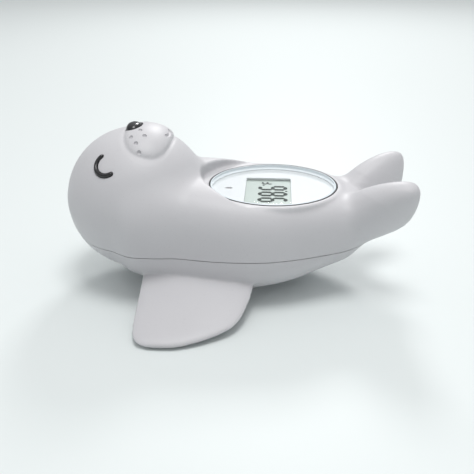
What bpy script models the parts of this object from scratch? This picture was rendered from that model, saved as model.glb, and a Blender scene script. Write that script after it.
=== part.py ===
"""Floating bath thermometer in the shape of a seal that lies on its back.

Metres, +Z up. The head is at -X, the tail at +X, and the belly with its oval window faces up.
The origin is under the middle of the object, on the surface that it rests on.
"""

import math

import bmesh
import bpy
from mathutils import Matrix, Vector

MM = 0.001

# Fits
GAP = 0.3 * MM  # between pieces that touch
WALL = 2.2 * MM  # of both moulded shells
SEAM_Z = 22.0 * MM  # height of the joint between the shells
LIP_HEIGHT = 1.6 * MM  # of the tongue that locates them

# Skin
HEAD_RADIUS = 30.2 * MM
HEAD_X = -43.0 * MM
HEAD_Z = 36.0 * MM
BODY_FRONT_X = -57.0 * MM  # inside the head
BODY_LENGTH = 117.0 * MM  # from there to the notch of the tail
BODY_HALF_WIDTH = 33.0 * MM
BODY_HEIGHT = 48.8 * MM
BODY_END = 0.14  # share of the trunk that rounds off at each end
SKIN_RINGS = 18  # along the body, past the head
HEAD_RINGS = 8
SKIN_SEGMENTS = 24
# Shares of the trunk's half width and height, at even steps along it
TRUNK_WIDTHS = (0.34, 0.80, 0.90, 0.935, 0.985, 1.0, 0.975, 0.88, 0.745, 0.61, 0.45)
TRUNK_TOPS = (0.80, 0.90, 0.96, 1.0, 0.99, 0.965, 0.945, 0.92, 0.885, 0.865, 0.86)
TRUNK_BOTTOMS = (0.26, 0.14, 0.065, 0.015, 0.0, 0.012, 0.05, 0.105, 0.195, 0.28, 0.37)
TRUNK_MIDDLES = (0.62, 0.58, 0.52, 0.465, 0.45, 0.45, 0.455, 0.48, 0.53, 0.58, 0.62)
AXIS_HEIGHTS = (36 * MM, 34.2 * MM, 28 * MM, 24 * MM, 23 * MM, 23 * MM, 25 * MM, 28 * MM, 30.5 * MM)
UPPER_SQUARENESS = 3.7
LOWER_SQUARENESS = 2.5
CHIN_BLEND = 4 * MM
CHEEK_BLEND = 14 * MM

# Muzzle, in shares of the head's radius seen from above
MUZZLE_CENTRE = 0.20
MUZZLE_HALF_LENGTH = 0.31
MUZZLE_HALF_WIDTH = 0.575
MUZZLE_SQUARENESS = 2.7
MUZZLE_RISE = 2.5 * MM

# Tail lobes
LOBE_BEFORE_END = 3.1 * MM  # from its middle to the end of the trunk
LOBE_Y = 13.4 * MM
LOBE_Z = 36.9 * MM
LOBE_HALF_LENGTH = 20.7 * MM
LOBE_TOPS = (6 * MM, 9.8 * MM, 10.8 * MM, 10.0 * MM, 7.0 * MM)  # over its axis, at even steps to the tip
LOBE_BOTTOMS = (-8 * MM, -12.0 * MM, -11.8 * MM, -9.2 * MM, 0.2 * MM)
LOBE_SQUARENESS = 2.8
LOBE_ROOT_HALF_THICKNESS = 10.0 * MM
LOBE_TIP_HALF_THICKNESS = 3.9 * MM
LOBE_SPLAY = math.radians(20)
LOBE_LIFT = math.radians(30)
LOBE_LEAN = math.radians(22)  # of its upper edge, outwards

# Front flippers
FLIPPER_ROOT_DEPTH = 15 * MM  # inside the widest part of the body
FLIPPER_SPAN = 45.0 * MM  # from the root
FLIPPER_FRONT_X = -38.2 * MM
FLIPPER_ROOT_CHORD = 47.5 * MM
FLIPPER_ROOT_Z = 13.0 * MM
FLIPPER_ROOT_THICKNESS = 9.0 * MM
FLIPPER_TIP_THICKNESS = 3.4 * MM
FLIPPER_CHORDS = (1.0, 0.975, 0.93, 0.82, 0.50)  # shares of the root's, at even steps to the tip
FLIPPER_HEIGHTS = (1.0, 0.80, 0.55, 0.30, 0.13)  # of the middle of its thickness, the same way

# Window in the belly
WINDOW_X = 14.7 * MM
WINDOW_HALF_LENGTH = 27.3 * MM
WINDOW_SIDE = 8.5 * MM  # from its edge to the widest part of the body
WINDOW_HALF_WIDTH = BODY_HALF_WIDTH - WINDOW_SIDE
DECK_Z = 43.0 * MM
DECK_MARGIN = 3.2 * MM
GASKET_WIDTH = 0.7 * MM
LENS_PROUD = 0.3 * MM
LENS_CROWN = 0.6 * MM
LENS_THICKNESS = 1.6 * MM
LENS_RIM_WIDTH = 1.2 * MM
CARD_Z = 40.7 * MM  # its face
CARD_THICKNESS = 0.8 * MM
LEDGE_WIDTH = 2.2 * MM
WELL_WALL = 1.2 * MM
OVAL_SEGMENTS = 36

# Display and circuit
LCD_X = WINDOW_X - 2.0 * MM
LCD_Y = -1.9 * MM
LCD_END_MARGIN = 16.3 * MM  # from its glass to the window's edge, on the middle line
LCD_SIDE_MARGIN = 9.5 * MM
LCD_LENGTH = 2 * (WINDOW_HALF_LENGTH - LCD_END_MARGIN)
LCD_WIDTH = 2 * (WINDOW_HALF_WIDTH - LCD_SIDE_MARGIN)
LCD_THICKNESS = 2.6 * MM
LCD_BORDER = (1.6 * MM, 0.7 * MM)  # of the glass, hidden by the card
LCD_SEAT = 1.0 * MM  # half the width of the contact edge of its glass
FRAME_WALL = 1.4 * MM
BOARD_END_MARGIN = 2.3 * MM  # from the board to the window's edge, on the middle line
BOARD_SIDE_MARGIN = 6.0 * MM
BOARD_HALF_LENGTH = WINDOW_HALF_LENGTH - BOARD_END_MARGIN
BOARD_HALF_WIDTH = WINDOW_HALF_WIDTH - BOARD_SIDE_MARGIN
BOARD_THICKNESS = 1.6 * MM
BOARD_Z = 32.6 * MM  # its upper face
BOARD_CORNER = 3 * MM
BOARD_SCREW_INSET = 3.2 * MM
LED_END_MARGIN = 8.5 * MM
LED_X = WINDOW_X - WINDOW_HALF_LENGTH + LED_END_MARGIN
LED_RADIUS = 1.5 * MM
POST_RADIUS = 2.6 * MM
SCREW_RADIUS = 0.9 * MM
SCREW_HEAD_RADIUS = 1.7 * MM
SCREW_HEAD_HEIGHT = 1.3 * MM
SCREW_LENGTH = 5.5 * MM

# Battery bay
BAY_X = -5.0 * MM
DOOR_RADIUS = 18.0 * MM
DOOR_THICKNESS = 2.3 * MM
PAD_WIDTH = 2.0 * MM  # round the door
PAD_RADIUS = DOOR_RADIUS + PAD_WIDTH
DOOR_SCREW_INSET = 2.4 * MM
DOOR_SCREW_CIRCLE = DOOR_RADIUS - DOOR_SCREW_INSET
SEAL_INSET = 2.9 * MM  # from the circle of the screws
SEAL_CIRCLE = DOOR_SCREW_CIRCLE - SEAL_INSET
SEAL_THICKNESS = 1.2 * MM
SEAL_LAND = 1.7 * MM  # from the seal's middle to the bay
BAY_RADIUS = SEAL_CIRCLE - SEAL_LAND
BAY_WALL = 2.0 * MM
BAY_HEIGHT = 9.4 * MM
CELL_ROOM = 1.0 * MM  # for the side contact
CELL_RADIUS = BAY_RADIUS - CELL_ROOM
CELL_THICKNESS = 3.2 * MM
CONTACT_THICKNESS = 0.4 * MM
CELL_BASE_Z = 3.6 * MM
DOOR_SCREW_SEAT = 1.5 * MM
SCREW_SIT = 0.15 * MM  # between a door screw's head and its seat
TAIL_WIDTH = 2.0 * MM
TAIL_LENGTH = 1.2 * MM

# Sensors in the underside
PROBE_X = -31.5 * MM
PROBE_RADIUS = 3.0 * MM
PROBE_WALL = 0.4 * MM
PROBE_PROUD = 1.2 * MM  # of its tip below the skin
PROBE_BOSS = 1.2 * MM  # of its seat above the inside of the wall
STUD_X = 26.0 * MM
STUD_Y = 9.0 * MM
STUD_RADIUS = 1.25 * MM
STUD_HEAD_RADIUS = 2.6 * MM
STUD_HEAD_HEIGHT = 1.1 * MM
STUD_RECESS = 0.7 * MM  # of its seat above the skin
STUD_BOSS_HEIGHT = 3.0 * MM
NUT_RADIUS = 2.5 * MM
NUT_HEIGHT = 1.8 * MM
WIRE_RADIUS = 0.45 * MM
PROBE_SEAL = 0.6 * MM
BEAD_RADIUS = 1.1 * MM
BEAD_HALF_HEIGHT = 1.1 * MM

# Face
NOSE_X = HEAD_X - 0.2 * MM
NOSE_SIZE = (3.6 * MM, 4.6 * MM, 4.0 * MM)  # half length, half width, height
NOSE_ROUNDNESS = 0.65  # lower is squarer
NOSE_SINK = 1.4 * MM  # of its pocket below the top of the head's ball
NOSE_POCKET_Z = HEAD_Z + HEAD_RADIUS - NOSE_SINK
NOSE_PEG_RADIUS = 1.5 * MM
NOSE_PEG_LENGTH = 3.4 * MM
EYE_DIRECTION = Vector((-0.262, -0.655, 0.709))
EYE_BULGE = Vector((-0.78, -0.27, -0.55))
EYE_ARC_RADIUS = 5.0 * MM
EYE_HALF_ANGLE = math.radians(88)
EYE_STROKE_RADIUS = 0.85 * MM

SIDES = ((-1, "right"), (1, "left"))  # the seal's own right side faces -Y

GREY = (0.60, 0.60, 0.62)
BLACK = (0.012, 0.012, 0.014)

OBJECT_NAME = "baby_bath_thermometer"


# Scene

def clear_scene():
    for obj in list(bpy.data.objects):
        bpy.data.objects.remove(obj)


def collection(name):
    """The collection of this name, made the first time that it is asked for."""
    found = bpy.data.collections.get(name)
    if found is None:
        found = bpy.data.collections.new(name)
        bpy.context.scene.collection.children.link(found)
    return found


def link(obj, is_part):
    """Puts the object with the parts, or with the cutters, which no render shows."""
    if is_part:
        collection(OBJECT_NAME).objects.link(obj)
        return
    collection("cutters").objects.link(obj)
    collection("cutters").hide_render = True
    obj.hide_render = True
    obj.display_type = "WIRE"


def parent_parts():
    """Hangs every part on one empty, so that the whole object moves as one."""
    root = bpy.data.objects.new(f"{OBJECT_NAME}_root", None)
    link(root, True)
    for obj in collection(OBJECT_NAME).objects:
        if obj is not root:
            obj.parent = root


# Materials

def material(name, colour, roughness=0.5, metallic=0.0):
    made = bpy.data.materials.get(name)
    if made is None:
        made = bpy.data.materials.new(name)
        made.use_nodes = True
        shader = made.node_tree.nodes["Principled BSDF"]
        shader.inputs["Base Color"].default_value = (*colour, 1)
        shader.inputs["Roughness"].default_value = roughness
        shader.inputs["Metallic"].default_value = metallic
    return made


def shell_plastic():
    return material("grey shell plastic", GREY, 0.45)


def black_gloss():
    return material("black gloss plastic", BLACK, 0.08)


def steel():
    return material("stainless steel", (0.62, 0.62, 0.63), 0.25, 1.0)


def black_rubber():
    return material("black rubber", (0.02, 0.02, 0.02), 0.7)


# Making objects

def add(name, mesh, finish=None, smooth_angle=35):
    """Puts the mesh in the scene as a part, or as a cutter where it has no finish."""
    obj = bpy.data.objects.new(name, mesh)
    link(obj, finish is not None)
    if finish is not None:
        mesh.materials.append(finish)
        mesh.shade_smooth()
        mesh.set_sharp_from_angle(angle=math.radians(smooth_angle))
    return obj


def mesh_of(name, bm):
    bmesh.ops.recalc_face_normals(bm, faces=bm.faces)
    mesh = bpy.data.meshes.new(name)
    bm.to_mesh(mesh)
    bm.free()
    return mesh


def disc_mesh(name, radius, bottom, top, half_width=None, segments=32, at=(0, 0)):
    """An upright cylinder between two heights, or an oval one of this half width."""
    bm = bmesh.new()
    bmesh.ops.create_cone(
        bm, cap_ends=True, segments=segments, radius1=radius, radius2=radius, depth=top - bottom
    )
    stretch = (half_width or radius) / radius
    bmesh.ops.scale(bm, vec=(1, stretch, 1), verts=bm.verts)
    bmesh.ops.translate(bm, vec=(at[0], at[1], (top + bottom) / 2), verts=bm.verts)
    return mesh_of(name, bm)


def box_mesh(name, low, high):
    low, high = Vector(low), Vector(high)
    bm = bmesh.new()
    bmesh.ops.create_cube(bm, size=1)
    bmesh.ops.scale(bm, vec=high - low, verts=bm.verts)
    bmesh.ops.translate(bm, vec=(low + high) / 2, verts=bm.verts)
    return mesh_of(name, bm)


def turned(name, profile, finish, at, segments=32):
    """A Screw of the profile, a list of (radius, height) that starts and ends on the axis, top first."""
    bm = bmesh.new()
    points = [bm.verts.new((radius, 0, height)) for radius, height in profile]
    for first, second in zip(points, points[1:]):
        bm.edges.new((first, second))
    mesh = bpy.data.meshes.new(name)
    bm.to_mesh(mesh)
    bm.free()
    obj = add(name, mesh, finish)
    obj.location = at
    screw = obj.modifiers.new("Screw", "SCREW")
    screw.steps = segments
    screw.render_steps = segments
    screw.use_merge_vertices = True
    screw.merge_threshold = 0.00001
    screw.use_smooth_shade = True
    return obj


def boolean(obj, operation, other):
    modifier = obj.modifiers.new(f"{operation} {other.name}", "BOOLEAN")
    modifier.operation = operation
    modifier.solver = "EXACT"
    modifier.object = other


def cut(obj, *others):
    for other in others:
        boolean(obj, "DIFFERENCE", other)


def join(obj, *others):
    for other in others:
        boolean(obj, "UNION", other)


def tube_curve(name, points, radius, finish=None, sides=2):
    """A round bar along the points, as a curve object."""
    curve = bpy.data.curves.new(name, "CURVE")
    curve.dimensions = "3D"
    curve.bevel_depth = radius
    curve.bevel_resolution = sides
    curve.use_fill_caps = True
    spline = curve.splines.new("POLY")
    spline.points.add(len(points) - 1)
    for point, place in zip(spline.points, points):
        point.co = (*place, 1)
    obj = bpy.data.objects.new(name, curve)
    link(obj, finish is not None)
    if finish is not None:
        curve.materials.append(finish)
    return obj


def to_mesh_object(curve_object, finish=None):
    """Turns a curve object into a welded mesh object, which a Boolean can use."""
    bpy.context.view_layer.update()
    graph = bpy.context.evaluated_depsgraph_get()
    mesh = bpy.data.meshes.new_from_object(curve_object.evaluated_get(graph))
    place = curve_object.matrix_world.copy()
    name = curve_object.name
    bpy.data.objects.remove(curve_object)
    bm = bmesh.new()
    bm.from_mesh(mesh)
    bmesh.ops.remove_doubles(bm, verts=bm.verts, dist=0.00001)
    bmesh.ops.recalc_face_normals(bm, faces=bm.faces)
    bm.to_mesh(mesh)
    bm.free()
    mesh.materials.clear()
    obj = add(name, mesh, finish)
    obj.matrix_world = place
    return obj


def smooth_path(points, count):
    """Points along one smooth curve through the given ones."""
    points = [Vector(point) for point in points]
    ends = [2 * points[0] - points[1]] + points + [2 * points[-1] - points[-2]]
    path = []
    for step in range(count):
        place = step / (count - 1) * (len(points) - 1)
        i = min(int(place), len(points) - 2)
        t = place - i
        a, b, c, d = ends[i : i + 4]
        bend = t * (2 * a - 5 * b + 4 * c - d + t * (3 * (b - c) + d - a))
        path.append(b + 0.5 * t * (c - a + bend))
    return path


# Skin of the seal

def profile(share, *values):
    """A smooth curve through values at even steps of the share, from 0 to 1."""
    place = min(max(share, 0), 1) * (len(values) - 1)
    i = min(int(place), len(values) - 2)
    t = place - i
    ends = (2 * values[0] - values[1], *values, 2 * values[-1] - values[-2])
    a, b, c, d = ends[i : i + 4]
    return b + 0.5 * t * (c - a + t * (2 * a - 5 * b + 4 * c - d + t * (3 * (b - c) + d - a)))


def smooth_max(first, second, reach):
    near = max(reach - abs(first - second), 0)
    return max(first, second) + near * near / (4 * reach)


def body_section(x, inset):
    """Half width, top, bottom and the height of the widest level of the trunk at x."""
    share = (x - BODY_FRONT_X) / BODY_LENGTH
    width = BODY_HALF_WIDTH * profile(share, *TRUNK_WIDTHS)
    top = BODY_HEIGHT * profile(share, *TRUNK_TOPS)
    bottom = BODY_HEIGHT * profile(share, *TRUNK_BOTTOMS)
    middle = BODY_HEIGHT * profile(share, *TRUNK_MIDDLES)
    closing = 1.0
    if share > 1 - BODY_END:
        closing = math.sqrt(max(1 - ((share - 1 + BODY_END) / BODY_END) ** 2, 0))
    if share < BODY_END:
        closing = math.sqrt(max(1 - ((BODY_END - share) / BODY_END) ** 2, 0))
    width = max(width * closing - inset, 0)
    top = max((top - middle) * closing - inset, 0)
    bottom = max((middle - bottom) * closing - inset, 0)
    return width, top, bottom, middle


def trunk_floor(x, y):
    """Height of the trunk's underside over this place."""
    width, _, drop, middle = body_section(x, 0)
    power = LOWER_SQUARENESS
    return middle - drop * (1 - (abs(y) / width) ** power) ** (1 / power)


def body_radius(x, angle, axis_z, inset):
    """How far the trunk's section reaches from the axis, at an angle from straight up."""
    width, top, bottom, middle = body_section(x, inset)
    if min(width, top, bottom) <= 0:
        return 0.0
    side, rise = math.sin(angle), math.cos(angle)
    near, far = 0.0, 3 * BODY_HALF_WIDTH
    for _ in range(28):
        reach = (near + far) / 2
        height = axis_z + reach * rise - middle
        power = UPPER_SQUARENESS if height > 0 else LOWER_SQUARENESS
        level = abs(height) / (top if height > 0 else bottom)
        if (reach * abs(side) / width) ** power + level**power < 1:
            near = reach
        else:
            far = reach
    return near


def head_radius(x, angle, axis_z, inset):
    """How far the head's ball reaches from the axis, at an angle from straight up."""
    squared = (HEAD_RADIUS - inset) ** 2 - (x - HEAD_X) ** 2
    if squared <= 0:
        return 0.0
    offset = axis_z - HEAD_Z
    half = offset * math.cos(angle)
    inside = half * half - offset * offset + squared
    return max(-half + math.sqrt(inside), 0.0) if inside > 0 else 0.0


def axis_height(x):
    """The axis that the rings are drawn round falls from the head's centre to the trunk's."""
    share = (x - HEAD_X + HEAD_RADIUS) / (BODY_FRONT_X + BODY_LENGTH - HEAD_X + HEAD_RADIUS)
    return profile(share, *AXIS_HEIGHTS)


def muzzle_swell(point, inset):
    """Raises the oval of the muzzle from the head, with a soft crease round it."""
    offset = (point - Vector((HEAD_X, 0, HEAD_Z))) / HEAD_RADIUS
    if offset.z < 0:
        return 0.0
    along = abs(offset.x - MUZZLE_CENTRE) / MUZZLE_HALF_LENGTH
    across = abs(offset.y) / MUZZLE_HALF_WIDTH
    distance = (along**MUZZLE_SQUARENESS + across**MUZZLE_SQUARENESS) ** (1 / MUZZLE_SQUARENESS)
    if distance >= 1 or inset > 0:
        return 0.0
    return MUZZLE_RISE * math.sqrt(1 - distance * distance)


def skin_stations(inset):
    """Positions of the rings, closer together on the head's front and the tail's end."""
    front = HEAD_X - HEAD_RADIUS + inset
    back = BODY_FRONT_X + BODY_LENGTH - inset
    reach = HEAD_RADIUS - inset
    turns = [math.radians(90 * i / HEAD_RINGS) for i in range(1, HEAD_RINGS)]
    head = [HEAD_X - reach * math.cos(turn) for turn in turns]
    turns = [math.radians(90 * i / SKIN_RINGS) for i in range(SKIN_RINGS)]
    trunk = [HEAD_X + (back - HEAD_X) * math.sin(turn) for turn in turns]
    return front, head + trunk, back


def skin_mesh(name, inset=0.0):
    """The trunk and the head as one loft, shrunk by the inset on all sides."""
    front, stations, back = skin_stations(inset)
    bm = bmesh.new()
    rings = []
    for x in stations:
        axis_z = axis_height(x)
        ring = []
        for i in range(SKIN_SEGMENTS):
            angle = 2 * math.pi * i / SKIN_SEGMENTS
            blend = CHIN_BLEND + (CHEEK_BLEND - CHIN_BLEND) * math.sin(angle) ** 2
            reach = smooth_max(
                head_radius(x, angle, axis_z, inset), body_radius(x, angle, axis_z, inset), blend
            )
            direction = Vector((0, math.sin(angle), math.cos(angle)))
            point = Vector((x, 0, axis_z)) + reach * direction
            outward = (point - Vector((HEAD_X, 0, HEAD_Z))).normalized()
            ring.append(bm.verts.new(point + muzzle_swell(point, inset) * outward))
        rings.append(ring)
    for ring, following in zip(rings, rings[1:]):
        for i in range(SKIN_SEGMENTS):
            j = (i + 1) % SKIN_SEGMENTS
            bm.faces.new((ring[i], ring[j], following[j], following[i]))
    for ring, x in ((rings[0], front), (rings[-1], back)):
        pole = bm.verts.new((x, 0, axis_height(x)))
        for i in range(SKIN_SEGMENTS):
            bm.faces.new((pole, ring[i], ring[(i + 1) % SKIN_SEGMENTS]))
    return mesh_of(name, bm)


def swollen(value, squareness):
    """A cosine or sine, pushed outwards so that its oval gets this squareness. 2 leaves it as it is."""
    return math.copysign(abs(value) ** (2 / squareness), value)


def loft_ovals(name, ovals, segments, squareness=2):
    """A closed loft through ovals, each a centre with its two half axes as vectors."""
    bm = bmesh.new()
    rings = []
    for centre, across, up in ovals:
        ring = []
        for i in range(segments):
            angle = 2 * math.pi * i / segments
            side = swollen(math.cos(angle), squareness)
            rise = swollen(math.sin(angle), squareness)
            ring.append(bm.verts.new(centre + side * across + rise * up))
        rings.append(ring)
    for ring, following in zip(rings, rings[1:]):
        for i in range(segments):
            j = (i + 1) % segments
            bm.faces.new((ring[i], ring[j], following[j], following[i]))
    bm.faces.new(rings[0])
    bm.faces.new(rings[-1])
    return mesh_of(name, bm)


def lobe_mesh(name, side, inset=0.0, rings=12, segments=16):
    """One tail lobe: a thick paddle with a blunt slanting end. Side is 1 for +Y and -1 for -Y."""
    forward = math.cos(LOBE_LIFT) * math.cos(LOBE_SPLAY)
    along = Vector((forward, side * math.sin(LOBE_SPLAY), math.sin(LOBE_LIFT))).normalized()
    lean = Matrix.Rotation(-side * LOBE_LEAN, 3, along)
    across = lean @ Vector((0, 0, 1)).cross(along).normalized()
    up = along.cross(across)
    centre = Vector((BODY_FRONT_X + BODY_LENGTH - LOBE_BEFORE_END, side * LOBE_Y, LOBE_Z))
    ovals = []
    for i in range(rings):
        share = -math.cos(math.pi * (0.03 + 0.94 * i / (rings - 1)))
        place = (share + 1) / 2
        closing = (1 - abs(share) ** 12) ** 0.5
        top, bottom = profile(place, *LOBE_TOPS), profile(place, *LOBE_BOTTOMS)
        height = max(closing * (top - bottom) / 2 - inset, 0.2 * MM)
        thickness = profile(
            place, LOBE_ROOT_HALF_THICKNESS, 0.8 * LOBE_ROOT_HALF_THICKNESS, LOBE_TIP_HALF_THICKNESS
        )
        thickness = max(closing * thickness - inset, 0.1 * MM)
        middle = centre + share * (LOBE_HALF_LENGTH - inset) * along + (top + bottom) / 2 * up
        ovals.append((middle, thickness * across, height * up))
    return loft_ovals(name, ovals, segments, LOBE_SQUARENESS)


def flipper_mesh(name, side, rings=9, segments=16):
    """One front flipper: a swept fin that droops to the floor at its tip."""
    ovals = []
    for i in range(rings):
        share = math.sin(math.radians(88 * i / (rings - 1)))
        rounding = (1 - share**12) ** 0.3
        chord = FLIPPER_ROOT_CHORD * profile(share, *FLIPPER_CHORDS)
        thickness = FLIPPER_ROOT_THICKNESS + (FLIPPER_TIP_THICKNESS - FLIPPER_ROOT_THICKNESS) * share
        y = BODY_HALF_WIDTH - FLIPPER_ROOT_DEPTH + share * FLIPPER_SPAN
        z = FLIPPER_ROOT_Z * profile(share, *FLIPPER_HEIGHTS)
        centre = Vector((FLIPPER_FRONT_X + chord / 2, side * y, z))
        half = Vector((chord * rounding / 2, 0, 0))
        ovals.append((centre, half, Vector((0, 0, thickness * rounding / 2))))
    return loft_ovals(name, ovals, segments)


def baked_mesh(obj):
    """The object's mesh with its modifiers applied, as a new mesh."""
    bpy.context.view_layer.update()
    graph = bpy.context.evaluated_depsgraph_get()
    return bpy.data.meshes.new_from_object(obj.evaluated_get(graph))


def window_oval(name, inset, bottom, top, finish=None):
    """An upright oval disc in line with the window, smaller than its opening by the inset."""
    mesh = disc_mesh(name, WINDOW_HALF_LENGTH - inset, bottom, top, WINDOW_HALF_WIDTH - inset,
                     OVAL_SEGMENTS, (WINDOW_X, 0))
    return add(name, mesh, finish)


def disc(name, radius, bottom, top, at, finish=None, segments=14):
    return add(name, disc_mesh(name, radius, bottom, top, None, segments, at), finish)


def box(name, low, high, finish=None):
    return add(name, box_mesh(name, low, high), finish)


def slab(name, bottom, top):
    """A block between two heights that is wider than the whole object."""
    reach = 2 * BODY_LENGTH
    return box(name, (-reach, -reach, bottom), (reach, reach, top))


def make_wall():
    """The wall of both shells together: the skin less the space inside it."""
    skin = add("skin", skin_mesh("skin"))
    cavity = add("cavity", skin_mesh("cavity", WALL))
    for side, word in SIDES:
        join(skin, add(f"{word} lobe", lobe_mesh(f"{word} lobe", side)))
        join(skin, add(f"{word} flipper", flipper_mesh(f"{word} flipper", side)))
        join(cavity, add(f"{word} lobe core", lobe_mesh(f"{word} lobe core", side, WALL)))
    cut(skin, window_oval("deck pocket", -DECK_MARGIN, DECK_Z, 2 * BODY_HEIGHT))
    cut(cavity, window_oval("deck slab", -DECK_MARGIN - WALL, DECK_Z - WALL, 2 * BODY_HEIGHT))
    cut(skin, add("hollow", baked_mesh(cavity)))
    return baked_mesh(skin)


# Belly shell

def board_screw_places():
    half_x = BOARD_HALF_LENGTH - BOARD_SCREW_INSET
    half_y = BOARD_HALF_WIDTH - BOARD_SCREW_INSET
    return [(WINDOW_X + across * half_x, along * half_y) for across in (-1, 1) for along in (-1, 1)]


def eye_points(side, count=11):
    """The arc of a closed eye, laid on the head's ball."""
    centre = Vector((HEAD_X, 0, HEAD_Z))
    outward = EYE_DIRECTION.normalized()
    bulge = (EYE_BULGE - EYE_BULGE.dot(outward) * outward).normalized()
    along = outward.cross(bulge)
    points = []
    for i in range(count):
        angle = EYE_HALF_ANGLE * (2 * i / (count - 1) - 1)
        flat = EYE_ARC_RADIUS * (math.cos(angle) * bulge + math.sin(angle) * along)
        point = centre + HEAD_RADIUS * (HEAD_RADIUS * outward + flat).normalized()
        points.append(Vector((point.x, -side * point.y, point.z)))
    return points


def add_window_well(shell):
    """The oval well that holds the lens and the card on a ledge, and the board's posts round it."""
    ledge_top = CARD_Z - CARD_THICKNESS - GAP
    well = window_oval("window well", -WELL_WALL, ledge_top - WALL, DECK_Z - WALL / 2)
    post_top = DECK_Z - WALL + 2 * GAP
    for i, place in enumerate(board_screw_places()):
        join(well, disc(f"board post {i}", POST_RADIUS, BOARD_Z + GAP, post_top, place))
    join(shell, add("well with posts", baked_mesh(well)))
    cut(shell, window_oval("window opening", 0, ledge_top, 2 * DECK_Z))
    cut(shell, window_oval("ledge opening", LEDGE_WIDTH, BOARD_Z, 2 * DECK_Z))
    bore = SCREW_RADIUS + GAP
    for i, place in enumerate(board_screw_places()):
        cut(shell, disc(f"post bore {i}", bore, BOARD_Z - MM, BOARD_Z + SCREW_LENGTH, place, None, 8))


def cut_face_pockets(shell):
    """Pockets for the nose and the eyes, which are separate black pieces."""
    half_length, half_width, height = NOSE_SIZE
    pocket = disc_mesh("nose pocket", half_length + GAP, NOSE_POCKET_Z, NOSE_POCKET_Z + 2 * height,
                       half_width + GAP, 20, (NOSE_X, 0))
    cut(shell, add("nose pocket", pocket))
    cut(shell, disc("nose peg hole", NOSE_PEG_RADIUS + GAP, NOSE_POCKET_Z - 3 * WALL, NOSE_POCKET_Z + MM,
                    (NOSE_X, 0), None, 12))
    for side, word in SIDES:
        groove = tube_curve(f"{word} eye groove", eye_points(side), EYE_STROKE_RADIUS + GAP)
        cut(shell, to_mesh_object(groove))


def stepped_slab(name, inset):
    """What is below the seam, less the tongue, which fills this inset skin for the lip's height."""
    tongue = add(f"{name} tongue", skin_mesh(f"{name} tongue", inset))
    cut(tongue, slab(f"{name} end", -BODY_HEIGHT, SEAM_Z - LIP_HEIGHT))
    tongue = add(f"{name} step", baked_mesh(tongue))
    below = slab(name, -BODY_HEIGHT, SEAM_Z)
    cut(below, tongue)
    return add(f"{name} cutter", baked_mesh(below))


def make_belly_shell(wall):
    """The upper moulding: face, belly and tail lobes, with a tongue along its lower edge."""
    shell = add("belly_shell", wall.copy(), shell_plastic())
    cut(shell, stepped_slab("below seam", (WALL + GAP) / 2))
    add_window_well(shell)
    cut_face_pockets(shell)


# Back shell

def recess_top():
    """Height of the door's recess: the door, and room for its seal."""
    return DOOR_THICKNESS + 3 * GAP


def door_screw_places():
    angles = [math.radians(90 + 120 * i) for i in range(3)]
    return [(BAY_X + DOOR_SCREW_CIRCLE * math.cos(a), DOOR_SCREW_CIRCLE * math.sin(a)) for a in angles]


def positive_x():
    """The side contact stands between the cell and the wall of the bay."""
    return BAY_X - (CELL_RADIUS + BAY_RADIUS) / 2


def negative_x():
    return BAY_X + CELL_RADIUS / 2


def add_battery_bay(shell):
    """A flat pad to stand on, with the door's recess and a closed cup for the cell."""
    at = (BAY_X, 0)
    join(shell, disc("pad", PAD_RADIUS, 0, recess_top() + WALL, at, None, 32))
    join(shell, disc("bay cup", BAY_RADIUS + BAY_WALL, recess_top(), BAY_HEIGHT + WALL, at, None, 24))
    for i, place in enumerate(door_screw_places()):
        join(shell, disc(f"door boss {i}", 2.5 * SCREW_RADIUS, recess_top(), BAY_HEIGHT, place, None, 12))
    cut(shell, disc("door recess", DOOR_RADIUS + GAP, -MM, recess_top(), at, None, 32))
    cut(shell, disc("bay", BAY_RADIUS, -MM, BAY_HEIGHT, at, None, 24))
    for i, place in enumerate(door_screw_places()):
        cut(shell, disc(f"door bore {i}", SCREW_RADIUS + GAP, 0, BAY_HEIGHT - MM, place, None, 8))
    for name, x in (("positive slot", positive_x()), ("negative slot", negative_x())):
        half_x = CONTACT_THICKNESS / 2 + GAP
        half_y = TAIL_WIDTH / 2 + GAP
        high = (x + half_x, half_y, BAY_HEIGHT + 2 * WALL)
        cut(shell, box(name, (x - half_x, -half_y, BAY_HEIGHT - MM), high))


def probe_tip():
    return trunk_floor(PROBE_X, 0) - PROBE_PROUD


def probe_seat():
    return trunk_floor(PROBE_X, 0) + WALL + PROBE_BOSS


def stud_seat():
    return trunk_floor(STUD_X, STUD_Y) + STUD_RECESS


def add_sensor_seats(shell):
    """A boss for the probe and one for each water contact, spot-faced outside."""
    at = (PROBE_X, 0)
    seat = probe_seat()
    join(shell, disc("probe boss", PROBE_RADIUS + 2.5 * MM, probe_tip() + WALL, seat, at, None, 20))
    cut(shell, disc("probe hole", PROBE_RADIUS + GAP, 0, 2 * seat, at, None, 20))
    seat = stud_seat()
    for side, word in SIDES:
        at = (STUD_X, side * STUD_Y)
        boss = STUD_HEAD_RADIUS + 2 * GAP + WALL
        join(shell, disc(f"{word} stud boss", boss, seat, seat + STUD_BOSS_HEIGHT, at, None, 16))
        cut(shell, disc(f"{word} spot face", STUD_HEAD_RADIUS + GAP, 0, seat, at, None, 20))
        cut(shell, disc(f"{word} stud hole", STUD_RADIUS + GAP, 0, 3 * seat, at, None, 12))


def make_back_shell(wall):
    """The lower moulding: back of the seal with its front flippers and the battery bay."""
    shell = add("back_shell", wall.copy(), shell_plastic())
    cut(shell, slab("above seam", SEAM_Z - GAP, 4 * DECK_Z))
    rabbet = add("rabbet", skin_mesh("rabbet", (WALL - GAP) / 2))
    cut(rabbet, slab("below rabbet", -BODY_HEIGHT, SEAM_Z - LIP_HEIGHT - GAP))
    cut(shell, add("rabbet cutter", baked_mesh(rabbet)))
    add_battery_bay(shell)
    add_sensor_seats(shell)


# Face pieces

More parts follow.
